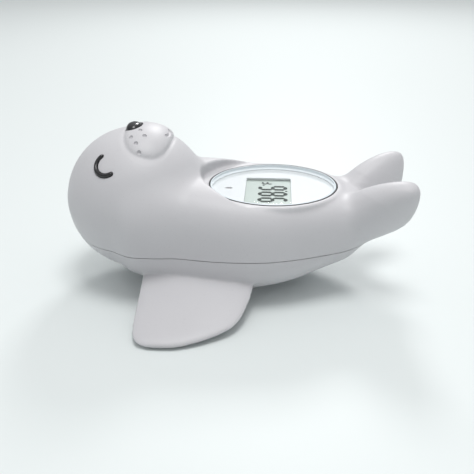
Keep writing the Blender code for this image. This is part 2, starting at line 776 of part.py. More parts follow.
def make_nose():
    """An oval black dome on a round peg."""
    half_length, half_width, height = NOSE_SIZE
    base = NOSE_POCKET_Z + GAP
    peg = NOSE_PEG_RADIUS
    levels = [(base - NOSE_PEG_LENGTH, peg, peg), (base, peg, peg), (base, half_length, half_width)]
    for degrees in (12, 30, 48, 64, 78, 86):
        rise = math.sin(math.radians(degrees))
        share = math.cos(math.radians(degrees)) ** NOSE_ROUNDNESS
        levels.append((base + height * rise, half_length * share, half_width * share))
    ovals = [(Vector((NOSE_X, 0, z)), Vector((x, 0, 0)), Vector((0, y, 0))) for z, x, y in levels]
    add("nose", loft_ovals("nose", ovals, 20), black_gloss())


def make_eyes():
    """Two black arcs, half sunk in their grooves."""
    for side, word in SIDES:
        to_mesh_object(tube_curve(f"{word}_eye", eye_points(side), EYE_STROKE_RADIUS), black_gloss())


# Window and display

def window_loft(name, profile_points, finish):
    """A closed loft of ovals in line with the window, from (inset, height) points."""
    ovals = [
        (Vector((WINDOW_X, 0, z)), Vector((WINDOW_HALF_LENGTH - inset, 0, 0)),
         Vector((0, WINDOW_HALF_WIDTH - inset, 0)))
        for inset, z in profile_points
    ]
    return add(name, loft_ovals(name, ovals, OVAL_SEGMENTS), finish)


def lens_inset():
    return 2 * GAP + GASKET_WIDTH


def make_lens():
    """A clear tray turned upside down: a crowned plate with a rim that stands on the card."""
    outer = lens_inset()
    inner = outer + LENS_RIM_WIDTH
    top = DECK_Z + LENS_PROUD
    foot = CARD_Z + GAP
    crown = [(outer + step * WINDOW_HALF_WIDTH, top + LENS_CROWN * (1 - (1 - step / 0.9) ** 2))
             for step in (0.25, 0.55, 0.85)]
    points = [(inner, top - LENS_THICKNESS), (inner, foot), (outer, foot), (outer, top - GAP),
              (outer + GAP, top)]
    clear = material("clear acrylic", (0.93, 0.97, 0.98), 0.03)
    window_loft("display_lens", points + crown, clear)


def make_lens_gasket():
    gasket = window_oval("lens_gasket", GAP, CARD_Z + GAP, DECK_Z, black_rubber())
    cut(gasket, window_oval("gasket inside", GAP + GASKET_WIDTH, 0, 2 * DECK_Z))


def lcd_box(name, grow, bottom, top, finish=None):
    half_x, half_y = LCD_LENGTH / 2 + grow, LCD_WIDTH / 2 + grow
    low, high = (LCD_X - half_x, LCD_Y - half_y, bottom), (LCD_X + half_x, LCD_Y + half_y, top)
    return box(name, low, high, finish)


def make_face_card():
    card = window_oval("face_card", GAP, CARD_Z - CARD_THICKNESS, CARD_Z,
                       material("white card", (0.86, 0.87, 0.87), 0.4))
    half_x, half_y = LCD_LENGTH / 2 - LCD_BORDER[0], LCD_WIDTH / 2 - LCD_BORDER[1]
    high = (LCD_X + half_x, LCD_Y + half_y, 2 * DECK_Z)
    cut(card, box("card window", (LCD_X - half_x, LCD_Y - half_y, 0), high))
    cut(card, disc("card led hole", LED_RADIUS + GAP, 0, 2 * DECK_Z, (LED_X, 0)))


def lcd_top():
    return CARD_Z - CARD_THICKNESS - GAP


def make_lcd():
    """The glass sandwich of the display, whose upper sheet overhangs for its contacts."""
    top = lcd_top()
    middle = top - LCD_THICKNESS / 2
    panel = lcd_box("lcd_panel", 0, middle, top, material("display glass", (0.62, 0.68, 0.62), 0.15))
    half_x, half_y = LCD_LENGTH / 2 - 2 * LCD_SEAT, LCD_WIDTH / 2
    join(panel, box("lower glass", (LCD_X - half_x, LCD_Y - half_y, top - LCD_THICKNESS),
                    (LCD_X + half_x, LCD_Y + half_y, middle + GAP)))
    rubber = material("grey rubber", (0.2, 0.2, 0.22), 0.8)
    half_y -= MM
    for direction, word in ((-1, "head"), (1, "tail")):
        x = LCD_X + direction * (LCD_LENGTH / 2 - LCD_SEAT)
        half = LCD_SEAT - GAP
        box(f"zebra_strip_{word}", (x - half, LCD_Y - half_y, BOARD_Z + GAP),
            (x + half, LCD_Y + half_y, middle - GAP), rubber)


def make_lcd_frame():
    """The moulded carrier that locates the glass and stands on the board."""
    inset = LEDGE_WIDTH + GAP
    white = material("white carrier", (0.8, 0.8, 0.8), 0.5)
    frame = window_oval("lcd_frame", inset, BOARD_Z + GAP, lcd_top(), white)
    core = window_oval("frame core", inset + FRAME_WALL, 0, lcd_top() - FRAME_WALL)
    cut(core, lcd_box("frame inner wall", GAP + FRAME_WALL, -MM, 2 * DECK_Z))
    cut(frame, add("frame hollow", baked_mesh(core)))
    cut(frame, lcd_box("frame window", GAP, 0, 2 * DECK_Z))
    cut(frame, disc("frame led hole", LED_RADIUS + GAP, 0, 2 * DECK_Z, (LED_X, 0)))


def make_board():
    thickness = BOARD_THICKNESS
    bm = bmesh.new()
    bmesh.ops.create_cube(bm, size=1)
    bmesh.ops.scale(bm, vec=(2 * BOARD_HALF_LENGTH, 2 * BOARD_HALF_WIDTH, thickness), verts=bm.verts)
    bmesh.ops.translate(bm, vec=(WINDOW_X, 0, BOARD_Z - thickness / 2), verts=bm.verts)
    upright = [edge for edge in bm.edges
               if abs(edge.verts[0].co.z - edge.verts[1].co.z) > thickness / 2]
    bmesh.ops.bevel(bm, geom=upright, offset=BOARD_CORNER, segments=4, affect="EDGES", profile=0.5)
    green = material("green board", (0.02, 0.16, 0.07), 0.35)
    board = add("circuit_board", mesh_of("circuit_board", bm), green)
    for i, place in enumerate(board_screw_places()):
        cut(board, disc(f"board hole {i}", SCREW_RADIUS + GAP, 0, 2 * DECK_Z, place, None, 12))


def screw(name, place, head_z, direction):
    """A pan-head screw. Its head's seat is at head_z, and its shaft points up or down by direction."""
    tip = head_z + direction * SCREW_LENGTH
    head = head_z - direction * SCREW_HEAD_HEIGHT
    rim = head_z - direction * 0.6 * SCREW_HEAD_HEIGHT
    points = [(0, tip), (0.6 * SCREW_RADIUS, tip), (SCREW_RADIUS, tip - direction * SCREW_RADIUS),
              (SCREW_RADIUS, head_z), (SCREW_HEAD_RADIUS, head_z), (SCREW_HEAD_RADIUS, rim),
              (0.7 * SCREW_HEAD_RADIUS, head), (0, head)]
    made = turned(name, points, steel(), (*place, 0), 10)
    recess_depth = 0.6 * SCREW_HEAD_HEIGHT
    long, short = 0.62 * SCREW_HEAD_RADIUS, 0.16 * SCREW_HEAD_RADIUS
    low, high = sorted((head - direction * MM, head + direction * recess_depth))
    x, y = place
    cross = box(f"{name} recess", (x - long, y - short, low), (x + long, y + short, high))
    join(cross, box(f"{name} recess bar", (x - short, y - long, low), (x + short, y + long, high)))
    cut(made, add(f"{name} cross", baked_mesh(cross)))


def make_board_parts():
    """What is soldered to the board, and the screws that hold it to the belly shell."""
    under = BOARD_Z - BOARD_THICKNESS - GAP
    blob = [(0, under), (4.5 * MM, under), (4.2 * MM, under - 0.6 * MM), (3.0 * MM, under - 1.2 * MM),
            (0, under - 1.5 * MM)]
    turned("chip_blob", blob, material("black resin", (0.01, 0.01, 0.01), 0.3), (WINDOW_X, 0, 0), 20)
    tin = material("tin", (0.5, 0.5, 0.5), 0.35, 0.9)
    crystal = disc("crystal_can", MM, -3 * MM, 3 * MM, (0, 0), tin)
    crystal.rotation_euler = (0, math.radians(90), 0)
    crystal.location = (WINDOW_X + 12 * MM, -8 * MM, under - MM)
    chip = material("ceramic chip", (0.30, 0.24, 0.18), 0.6)
    for name, x, y, half_x, half_y, height in (
        ("resistor_1", -9, 6, 1.0, 0.6, 0.5),
        ("resistor_2", -9, -6, 1.0, 0.6, 0.5),
        ("capacitor", 10, 8, 1.6, 0.8, 1.2),
    ):
        x, y = WINDOW_X + x * MM, y * MM
        box(name, (x - half_x * MM, y - half_y * MM, under - height * MM),
            (x + half_x * MM, y + half_y * MM, under), chip)
    for i, place in enumerate(board_screw_places()):
        screw(f"board_screw_{i + 1}", place, under, 1)


def make_led():
    """The lamp that warns of hot water, which stands on the board behind a hole in the card."""
    foot = BOARD_Z + GAP
    shoulder = CARD_Z - LED_RADIUS - GAP
    flange = 1.15 * LED_RADIUS
    dome = [(LED_RADIUS * math.sin(a), shoulder + LED_RADIUS * math.cos(a))
            for a in (math.radians(22.5 * i) for i in range(5))]
    turned("warning_led", dome + [(LED_RADIUS, foot + MM), (flange, foot + MM), (flange, foot), (0, foot)],
           material("red lamp", (0.45, 0.03, 0.02), 0.2), (LED_X, 0, 0), 16)


# Battery pieces

def make_door():
    top = DOOR_THICKNESS
    plug = CELL_BASE_Z - GAP
    inner, outer = SEAL_CIRCLE - 0.75 * SEAL_THICKNESS, SEAL_CIRCLE + 0.75 * SEAL_THICKNESS
    groove = top - 0.5 * SEAL_THICKNESS
    points = [(0, plug), (BAY_RADIUS - 2 * GAP, plug), (BAY_RADIUS - 2 * GAP, top), (inner, top),
              (inner, groove), (outer, groove), (outer, top), (DOOR_RADIUS, top), (DOOR_RADIUS, GAP),
              (DOOR_RADIUS - GAP, 0), (0, 0)]
    door = turned("battery_door", points, shell_plastic(), (BAY_X, 0, 0), 32)
    for i, (x, y) in enumerate(door_screw_places()):
        cut(door, disc(f"head pocket {i}", SCREW_HEAD_RADIUS + GAP, -MM, DOOR_SCREW_SEAT, (x, y), None, 18))
        cut(door, disc(f"door hole {i}", SCREW_RADIUS + GAP, 0, 2 * top, (x, y), None, 8))
        screw(f"door_screw_{i + 1}", (x, y), DOOR_SCREW_SEAT - SCREW_SIT, 1)


def make_door_seal():
    radius = SEAL_THICKNESS / 2 - SCREW_SIT
    middle = (DOOR_THICKNESS - 0.5 * SEAL_THICKNESS + recess_top()) / 2
    around = [math.radians(60 * i) for i in range(6)]
    ring = [(SEAL_CIRCLE + radius * math.cos(a), middle - radius * math.sin(a)) for a in around]
    turned("door_seal", ring + ring[:1], black_rubber(), (BAY_X, 0, 0), 24)


def make_cell():
    low, high = CELL_BASE_Z, CELL_BASE_Z + CELL_THICKNESS
    rim = 0.4 * MM
    points = [(0, high), (CELL_RADIUS - 3 * rim, high), (CELL_RADIUS - 2 * rim, high - rim),
              (CELL_RADIUS - rim, high - rim), (CELL_RADIUS, high - 2 * rim), (CELL_RADIUS, low + rim),
              (CELL_RADIUS - rim, low), (0, low)]
    turned("coin_cell", points, steel(), (BAY_X, 0, 0), 24)


def strip(name, path):
    """A bent spring strip from (x, z, width) points, as an open ribbon with Solidify."""
    bm = bmesh.new()
    rows = [[bm.verts.new((x, sign * width / 2, z)) for sign in (-1, 1)] for x, z, width in path]
    for row, following in zip(rows, rows[1:]):
        bm.faces.new((row[0], row[1], following[1], following[0]))
    mesh = bpy.data.meshes.new(name)
    bm.to_mesh(mesh)
    bm.free()
    obj = add(name, mesh, material("nickel spring", (0.66, 0.62, 0.52), 0.3, 1.0))
    solidify = obj.modifiers.new("Solidify", "SOLIDIFY")
    solidify.thickness = CONTACT_THICKNESS
    solidify.offset = 0
    return obj


def make_contacts():
    tail_top = BAY_HEIGHT + WALL + TAIL_LENGTH
    side = positive_x()
    strip("positive_contact", [
        (side, tail_top, TAIL_WIDTH),
        (side, BAY_HEIGHT - GAP, TAIL_WIDTH),
        (side, BAY_HEIGHT - MM, 2 * TAIL_WIDTH),
        (side, CELL_BASE_Z + GAP, 2 * TAIL_WIDTH),
    ])
    start = negative_x()
    touch = CELL_BASE_Z + CELL_THICKNESS + GAP + CONTACT_THICKNESS / 2
    ceiling = BAY_HEIGHT - GAP - CONTACT_THICKNESS
    strip("negative_contact", [
        (start, tail_top, TAIL_WIDTH),
        (start, ceiling, TAIL_WIDTH),
        (start - 0.8 * CELL_RADIUS, touch, 2 * TAIL_WIDTH),
        (start - CELL_RADIUS, touch + GAP, 2 * TAIL_WIDTH),
    ])


# Sensors

def make_probe():
    """A thin steel cup through the underside, with the temperature sensor in its tip."""
    outer, inner = PROBE_RADIUS, PROBE_RADIUS - PROBE_WALL
    seat = probe_seat() + GAP
    seal_top = seat + PROBE_SEAL
    flange_low = seal_top + GAP
    flange_top = flange_low + 0.6 * MM
    flange = outer + 1.8 * MM
    tip = probe_tip()
    points = [(0, tip + PROBE_WALL), (inner, tip + PROBE_WALL), (inner, flange_top), (flange, flange_top),
              (flange, flange_low), (outer, flange_low), (outer, tip + 0.5 * MM),
              (outer - 0.5 * MM, tip), (0, tip)]
    turned("probe_cap", points, steel(), (PROBE_X, 0, 0), 16)
    seal = [(flange, seal_top), (flange, seat), (outer + GAP, seat), (outer + GAP, seal_top)]
    turned("probe_seal", seal + seal[:1], black_rubber(), (PROBE_X, 0, 0), 16)
    middle = tip + PROBE_WALL + GAP + BEAD_HALF_HEIGHT
    bead = [(BEAD_RADIUS * math.sin(a), middle + BEAD_HALF_HEIGHT * math.cos(a))
            for a in (math.radians(30 * i) for i in range(7))]
    bead[0] = (0, bead[0][1])
    bead[-1] = (0, bead[-1][1])
    turned("thermistor", bead, material("sensor glass", (0.25, 0.12, 0.06), 0.2), (PROBE_X, 0, 0), 12)


def nut_base():
    return stud_seat() + STUD_BOSS_HEIGHT + GAP


def make_water_contacts():
    """Two steel studs in the underside that switch the display on in water."""
    for side, word in SIDES:
        at = (STUD_X, side * STUD_Y)
        head_top = stud_seat() - GAP
        head = head_top - STUD_HEAD_HEIGHT
        top = nut_base() + NUT_HEIGHT + MM
        turned(f"{word}_water_contact", [
            (0, top), (STUD_RADIUS, top), (STUD_RADIUS, head_top), (STUD_HEAD_RADIUS, head_top),
            (STUD_HEAD_RADIUS, head + GAP), (STUD_HEAD_RADIUS - 2 * GAP, head), (0, head),
        ], steel(), (*at, 0), 16)
        nut = disc(f"{word}_contact_nut", NUT_RADIUS, nut_base(), nut_base() + NUT_HEIGHT, at, steel(), 6)
        cut(nut, disc(f"{word} nut bore", STUD_RADIUS + GAP, 0, 3 * BAY_HEIGHT, at, None, 12))


# Wires inside the sealed body

def wire(name, route, colour):
    finish = material(f"{name} sleeve", colour, 0.5)
    tube_curve(name, smooth_path(route, 14), WIRE_RADIUS, finish, 1)


def make_wires():
    board = BOARD_Z - BOARD_THICKNESS - GAP
    tail = BAY_HEIGHT + WALL + TAIL_LENGTH + GAP
    red, black, white, blue = (0.5, 0.02, 0.02), (0.02, 0.02, 0.02), (0.7, 0.7, 0.7), (0.05, 0.1, 0.4)
    plus, minus = positive_x(), negative_x()
    wire("battery_plus_wire", [
        (plus, 0, tail), (plus, -2 * MM, tail + 5 * MM), (-12 * MM, -5 * MM, 25 * MM),
        (-9 * MM, -6 * MM, board),
    ], red)
    wire("battery_minus_wire", [
        (minus, 0, tail), (minus, 3 * MM, tail + 5 * MM), (-3 * MM, 7 * MM, 25 * MM),
        (-5 * MM, 8 * MM, board),
    ], black)
    bead_top = probe_tip() + PROBE_WALL + 2 * GAP + 2 * BEAD_HALF_HEIGHT
    stud_top = nut_base() + NUT_HEIGHT + MM + GAP
    for side, word in SIDES:
        wire(f"{word}_probe_wire", [
            (PROBE_X, side * 0.7 * MM, bead_top), (PROBE_X, side * MM, 10 * MM),
            (-27 * MM, side * 5 * MM, 20 * MM), (-14 * MM, side * 12 * MM, 26 * MM),
            (-9 * MM, side * 12 * MM, board),
        ], white)
        wire(f"{word}_contact_wire", [
            (STUD_X, side * STUD_Y, stud_top), (STUD_X - MM, side * (STUD_Y + 1 * MM), 20 * MM),
            (22 * MM, side * 12 * MM, 26 * MM), (20 * MM, side * 12 * MM, board),
        ], blue)


def main():
    clear_scene()
    wall = make_wall()
    make_belly_shell(wall)
    make_back_shell(wall)
    make_nose()
    make_eyes()
    make_lens()
    make_lens_gasket()
    make_face_card()
    make_lcd()
    make_lcd_frame()
    make_board()
    make_board_parts()
    make_led()
    make_door()
    make_door_seal()
    make_cell()
    make_contacts()
    make_probe()
    make_water_contacts()
    make_wires()
    parent_parts()


main()
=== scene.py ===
# %% [markdown]
# Baby bath thermometer in the shape of a seal that floats on its back.
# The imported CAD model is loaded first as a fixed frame: every piece made here rides on it, in
# metres, with the head at -X, the tail at +X and the window in the belly facing +Z.
# The shells, the face, the window and everything that shows from outside get modelled again at
# the fineness of a moulded toy. Small sealed pieces keep their CAD shape and get a finish.

# %% Load the frame
from math import cos, pi, radians, sin, sqrt

import bmesh
import bpy
import numpy as np
from mathutils import Matrix, Vector


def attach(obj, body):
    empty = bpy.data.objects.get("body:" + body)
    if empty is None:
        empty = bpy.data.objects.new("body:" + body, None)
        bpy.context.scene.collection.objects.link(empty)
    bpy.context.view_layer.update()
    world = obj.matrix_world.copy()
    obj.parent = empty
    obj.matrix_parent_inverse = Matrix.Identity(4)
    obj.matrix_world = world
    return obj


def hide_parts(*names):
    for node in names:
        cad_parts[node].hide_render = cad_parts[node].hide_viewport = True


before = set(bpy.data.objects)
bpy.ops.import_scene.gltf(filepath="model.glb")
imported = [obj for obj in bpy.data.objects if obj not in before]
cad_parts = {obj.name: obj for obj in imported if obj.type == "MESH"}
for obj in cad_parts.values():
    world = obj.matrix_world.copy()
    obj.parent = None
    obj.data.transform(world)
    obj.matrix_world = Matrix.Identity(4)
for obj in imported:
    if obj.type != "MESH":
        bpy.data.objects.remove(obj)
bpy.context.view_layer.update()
MM = 0.001


# %% [markdown]
# The camera stands where the photograph was taken from: about 26 degrees above the water, a
# little to the tail's side of square on, with a normal lens. It comes first, because what shows
# decides where the fine work goes.

# %% Camera
def scene_object(name, data):
    """A new object in the scene, with a mesh, a lamp or a camera as its data."""
    obj = bpy.data.objects.new(name, data)
    bpy.context.scene.collection.objects.link(obj)
    return obj


camera = scene_object("camera", bpy.data.cameras.new("camera"))
camera.data.lens = 50
camera.data.sensor_width = 36
camera.location = (0.01477, -0.26229, 0.14443)
camera.rotation_euler = (radians(64.2), 0, radians(3.36))
bpy.context.scene.camera = camera
print("camera", tuple(round(value, 3) for value in camera.location))

# %% [markdown]
# Light: a bright bathroom with white walls. The pale world is lightest overhead and in a low band
# at the horizon, with greyer walls between, so sides and undersides fall off into grey. One soft
# lamp overhead adds to that, and a small lamp far behind lights the tops and puts the highlights
# on the black pieces.

# %% World and lamps
WHITE = (1.0, 1.0, 1.0, 1)
WALL_GREY = (0.38, 0.40, 0.42, 1)
HORIZON, WALLS, OVERHEAD = 0.06, 0.26, 0.9
world = bpy.data.worlds.new("pale room")
bpy.context.scene.world = world
world.use_nodes = True
bpy.context.scene.view_settings.view_transform = "Standard"
sky = world.node_tree.nodes
direction = sky.new("ShaderNodeTexCoord")
height = sky.new("ShaderNodeSeparateXYZ")
shade = sky.new("ShaderNodeValToRGB")
stops = shade.color_ramp.elements
stops[0].position, stops[0].color = HORIZON, WHITE
stops[1].position, stops[1].color = OVERHEAD, WHITE
stops.new(WALLS).color = WALL_GREY
world.node_tree.links.new(direction.outputs["Generated"], height.inputs[0])
world.node_tree.links.new(height.outputs["Z"], shade.inputs["Fac"])
world.node_tree.links.new(shade.outputs["Color"], sky["Background"].inputs["Color"])
sky["Background"].inputs["Strength"].default_value = 0.78


def soft_lamp(name, place, target, size, watts):
    """A square area lamp that looks at the target."""
    lamp = bpy.data.lights.new(name, "AREA")
    lamp.size = size
    lamp.energy = watts
    obj = scene_object(name, lamp)
    obj.location = place
    obj.rotation_euler = (Vector(target) - Vector(place)).to_track_quat("-Z", "Y").to_euler()
    print(name, "at", place)


soft_lamp("overhead lamp", (0.04, -0.08, 0.80), (0.01, 0, 0.04), 0.30, 2.75)
soft_lamp("back lamp", (0.06, 0.90, 0.66), (0, 0, 0.04), 0.22, 3.6)

# %% [markdown]
# Materials are trees of nodes. So that a finish reads like a formula, one small class wraps a
# socket, and +, - and * on it add Math nodes. Every other node comes from one method.

# %% Shader helpers


class Value:
    """A number, colour or vector that comes out of a node."""

    def __init__(self, paint, socket):
        self.paint = paint
        self.socket = socket

    def math(self, operation, first, second):
        return self.paint.node("ShaderNodeMath", {"operation": operation}, {0: first, 1: second})

    def __add__(self, other):
        return self.math("ADD", self, other)

    def __sub__(self, other):
        return self.math("SUBTRACT", self, other)

    def __rsub__(self, other):
        return self.math("SUBTRACT", other, self)

    def __mul__(self, other):
        return self.math("MULTIPLY", self, other)

    __radd__ = __add__
    __rmul__ = __mul__


class Paint:
    """A material with a Principled shader, whose sockets are set by name."""

    def __init__(self, name, **sockets):
        self.material = bpy.data.materials.new(name)
        self.material.use_nodes = True
        self.tree = self.material.node_tree
        self.shader = self.tree.nodes["Principled BSDF"]
        for socket, value in sockets.items():
            self.set(socket.replace("_", " "), value)

    def feed(self, socket, value):
        if isinstance(value, Value):
            self.tree.links.new(value.socket, socket)
        elif isinstance(value, tuple) and len(value) == 3 and socket.type == "RGBA":
            socket.default_value = (*value, 1)
        else:
            socket.default_value = value

    def set(self, socket, value):
        self.feed(self.shader.inputs[socket], value)

    def node(self, kind, settings=None, sockets=None, output=0):
        """Adds a node: its settings first, then values or links for sockets, by name or place."""
        made = self.tree.nodes.new(kind)
        for name, value in (settings or {}).items():
            if name == "stops":
                for element, (place, colour) in zip(made.color_ramp.elements, value):
                    element.position = place
                    element.color = (*colour, 1)
            else:
                setattr(made, name, value)
        for name, value in (sockets or {}).items():
            if isinstance(name, int):
                self.feed(made.inputs[name], value)
            else:
                self.feed(next(s for s in made.inputs if s.name == name and s.enabled), value)
        if isinstance(output, int):
            return Value(self, made.outputs[output])
        return Value(self, next(s for s in made.outputs if s.name == output and s.enabled))

    def place(self):
        """The point on the piece, in the row frame, in metres."""
        return self.node("ShaderNodeTexCoord", output="Object")

    def noise(self, size, detail=2.0, roughness=0.5):
        """Cloudy noise from 0 to 1 whose blobs are about this size in metres."""
        sockets = {"Scale": 1 / size, "Detail": detail, "Roughness": roughness}
        return self.node("ShaderNodeTexNoise", sockets={"Vector": self.place(), **sockets})

    def mix(self, factor, first, second):
        sockets = {"Factor": factor, "A": first, "B": second}
        return self.node("ShaderNodeMix", {"data_type": "RGBA"}, sockets, "Result")

    def ramp(self, factor, low, high):
        """Black that turns white as the factor goes from low to high."""
        stops = ((low, (0, 0, 0)), (high, (1, 1, 1)))
        return self.node("ShaderNodeValToRGB", {"stops": stops}, {"Fac": factor})

    def bump(self, height, depth, strength):
        """Sets the Normal from heights of 0 to 1 that stand for this depth in metres."""
        sockets = {"Height": height, "Distance": depth, "Strength": strength}
        self.set("Normal", self.node("ShaderNodeBump", sockets=sockets))


def tint(colour, factor):
    """A lighter or darker colour."""
    return tuple(min(channel * factor, 1) for channel in colour)


# %% [markdown]
# The shell is pale grey plastic with a fine matt texture from the mould. Close to, such a
# surface has grains a quarter of a millimetre wide, a few darker flecks and a very slow drift in
# tone, where handling polishes it. All are noise; the grain goes into a Bump, the flecks and the
# drift go into colour and roughness.

# %% Shell plastic
SHELL_GREY = (0.582, 0.577, 0.596)


def shell_plastic():
    paint = Paint("grey shell plastic", IOR=1.48)
    drift = paint.noise(28 * MM, 3.0)
    fleck = paint.noise(0.9 * MM, 3.0, 0.6)
    tone = paint.mix(drift, tint(SHELL_GREY, 0.965), tint(SHELL_GREY, 1.035))
    paint.set("Base Color", paint.mix(paint.ramp(fleck, 0.62, 0.74), tone, tint(SHELL_GREY, 0.93)))
    paint.set("Roughness", 0.40 + 0.10 * drift + 0.05 * fleck)
    paint.bump(paint.noise(0.28 * MM, 2.0), 0.02 * MM, 0.5)
    return paint.material


SHELL = shell_plastic()
print("finish:", SHELL.name)

# %% [markdown]
# The body is one soft form: a ball for the head and a squarish trunk that grows out of it. A
# loft of rings does both at once. Each ring is found by asking, for every direction from an axis
# that runs from the head to the tail, how far out the ball reaches and how far the trunk
# reaches, and taking a rounded maximum of the two. That rounded maximum makes the soft neck.

# %% Trunk and head, as numbers
HEAD_CENTRE = Vector((-43.0, 0, 36.0)) * MM
HEAD_RADIUS = 30.2 * MM
TRUNK_FRONT = -57.0 * MM
TRUNK_LENGTH = 117.0 * MM
TRUNK_HALF_WIDTH = 33.0 * MM
TRUNK_HEIGHT = 48.8 * MM
TRUNK_END = 0.14
TRUNK_WIDTHS = (0.34, 0.80, 0.90, 0.935, 0.985, 1.0, 0.975, 0.88, 0.745, 0.61, 0.45)
TRUNK_TOPS = (0.80, 0.90, 0.96, 1.0, 0.99, 0.965, 0.945, 0.92, 0.885, 0.865, 0.86)
TRUNK_BOTTOMS = (0.26, 0.14, 0.065, 0.015, 0.0, 0.012, 0.05, 0.105, 0.195, 0.28, 0.37)
TRUNK_MIDDLES = (0.62, 0.58, 0.52, 0.465, 0.45, 0.45, 0.455, 0.48, 0.53, 0.58, 0.62)
AXIS_HEIGHTS = (36.0, 34.2, 28.0, 24.0, 23.0, 23.0, 25.0, 28.0, 30.5)
UPPER_SQUARENESS = 3.7
LOWER_SQUARENESS = 2.5
CHIN_BLEND = 4 * MM
CHEEK_BLEND = 14 * MM
HALVINGS = 30


def smooth_curve(share, values):
    """A smooth curve through values at even steps of the share, from 0 to 1."""
    values = np.asarray(values, float)
    padded = np.concatenate(([2 * values[0] - values[1]], values, [2 * values[-1] - values[-2]]))
    place = np.clip(share, 0, 1) * (len(values) - 1)
    i = np.minimum(np.asarray(place).astype(int), len(values) - 2)
    t = place - i
    a, b, c, d = (padded[i + k] for k in range(4))
    return b + 0.5 * t * (c - a + t * (2 * a - 5 * b + 4 * c - d + t * (3 * (b - c) + d - a)))


def trunk_section(x, inset):
    """Half width, rise, drop and middle height of the trunk at x."""
    share = (x - TRUNK_FRONT) / TRUNK_LENGTH
    middle = TRUNK_HEIGHT * smooth_curve(share, TRUNK_MIDDLES)
    near_end = np.clip(np.maximum(share - 1 + TRUNK_END, TRUNK_END - share) / TRUNK_END, 0, 1)
    closing = np.sqrt(1 - near_end**2)
    width = TRUNK_HALF_WIDTH * smooth_curve(share, TRUNK_WIDTHS) * closing
    rise = (TRUNK_HEIGHT * smooth_curve(share, TRUNK_TOPS) - middle) * closing
    drop = (middle - TRUNK_HEIGHT * smooth_curve(share, TRUNK_BOTTOMS)) * closing
    return (*(np.maximum(size - inset, 1e-9) for size in (width, rise, drop)), middle)


def trunk_reach(x, angle, axis_z, inset):
    """How far the trunk reaches from the axis, at an angle from straight up."""
    width, rise, drop, middle = trunk_section(x, inset)
    near = np.zeros(np.broadcast(x, angle).shape)
    far = near + 3 * TRUNK_HALF_WIDTH
    for _ in range(HALVINGS):
        reach = (near + far) / 2
        height = axis_z + reach * np.cos(angle) - middle
        power = np.where(height > 0, UPPER_SQUARENESS, LOWER_SQUARENESS)
        level = np.abs(height) / np.where(height > 0, rise, drop)
        side = np.abs(reach * np.sin(angle)) / width
        inside = np.minimum(side, 9) ** power + np.minimum(level, 9) ** power < 1
        near, far = np.where(inside, reach, near), np.where(inside, far, reach)
    return near


def head_reach(x, angle, axis_z, inset):
    """How far the head's ball reaches from the axis, at an angle from straight up."""
    squared = (HEAD_RADIUS - inset) ** 2 - (x - HEAD_CENTRE.x) ** 2
    offset = axis_z - HEAD_CENTRE.z
    half = offset * np.cos(angle)
    inside = half**2 - offset**2 + squared
    return np.where(squared > 0, np.maximum(-half + np.sqrt(np.maximum(inside, 0)), 0), 0)


# %% [markdown]
# The muzzle is an oval cushion raised from the head. Its edge is steep, with a shallow groove
# round it, which gives the crease. Distances are shares of the head's radius, seen from above.
# Five small pits on each side stand for whiskers, and a short groove near the chin for the mouth.

# %% Muzzle
MUZZLE_CENTRE = 0.20
MUZZLE_HALF_LENGTH = 0.31
MUZZLE_HALF_WIDTH = 0.575
MUZZLE_SQUARENESS = 2.5
MUZZLE_RISE = 2.5 * MM
MUZZLE_DOME = 2.4
MUZZLE_LOWER_AT_NOSE = 0.4
MUZZLE_GROOVE = 0.3 * MM
GROOVE_AT = 1.04
GROOVE_WIDTH = 0.065
WHISKER_RADIUS = 0.92 * MM
WHISKERS = ((0.108, -0.185), (0.012, -0.330), (0.182, -0.300), (0.095, -0.435), (0.150, -0.545))
MOUTH_X = 0.46
MOUTH_HALF_WIDTH = 0.12
MOUTH_RADIUS = 0.95 * MM


def muzzle_rise(points):
    """How far points on the head move out for the muzzle."""
    offset = (points - np.array(HEAD_CENTRE)) / HEAD_RADIUS
    along = np.abs(offset[..., 0] - MUZZLE_CENTRE) / MUZZLE_HALF_LENGTH
    across = np.abs(offset[..., 1]) / MUZZLE_HALF_WIDTH
    distance = (along**MUZZLE_SQUARENESS + across**MUZZLE_SQUARENESS) ** (1 / MUZZLE_SQUARENESS)
    to_nose = np.clip(0.5 - (offset[..., 0] - MUZZLE_CENTRE) / (2 * MUZZLE_HALF_LENGTH), 0, 1)
    rise = MUZZLE_RISE * (1 - MUZZLE_LOWER_AT_NOSE * to_nose**2)
    rise = rise * np.sqrt(np.maximum(1 - distance**MUZZLE_DOME, 0))
    rise -= MUZZLE_GROOVE * np.exp(-(((distance - GROOVE_AT) / GROOVE_WIDTH) ** 2))
    return np.where(offset[..., 2] > 0, rise, 0)


def on_muzzle(x, y):
    """The point of the muzzle's surface over x and y, in head radii, and the way out there."""
    outward = Vector((x, y, sqrt(1 - x * x - y * y)))
    place = HEAD_CENTRE + HEAD_RADIUS * outward
    return place + float(muzzle_rise(np.array(place))) * outward, outward


# %% Loft of the body
FIRST_RING = 0.12


def mesh_from(name, bm):
    mesh = bpy.data.meshes.new(name)
    bm.to_mesh(mesh)
    bm.free()
    return mesh


def grid_mesh(name, points):
    """A closed mesh through rings of points, with a fan at each end."""
    rings, count = points.shape[:2]
    bm = bmesh.new()
    verts = [[bm.verts.new(point) for point in ring] for ring in points]
    for ring, following in zip(verts, verts[1:]):
        for i in range(count):
            j = (i + 1) % count
            bm.faces.new((ring[i], ring[j], following[j], following[i]))
    for ring in (verts[0], verts[-1]):
        bm.faces.new(ring)
    bmesh.ops.recalc_face_normals(bm, faces=bm.faces)
    return mesh_from(name, bm)


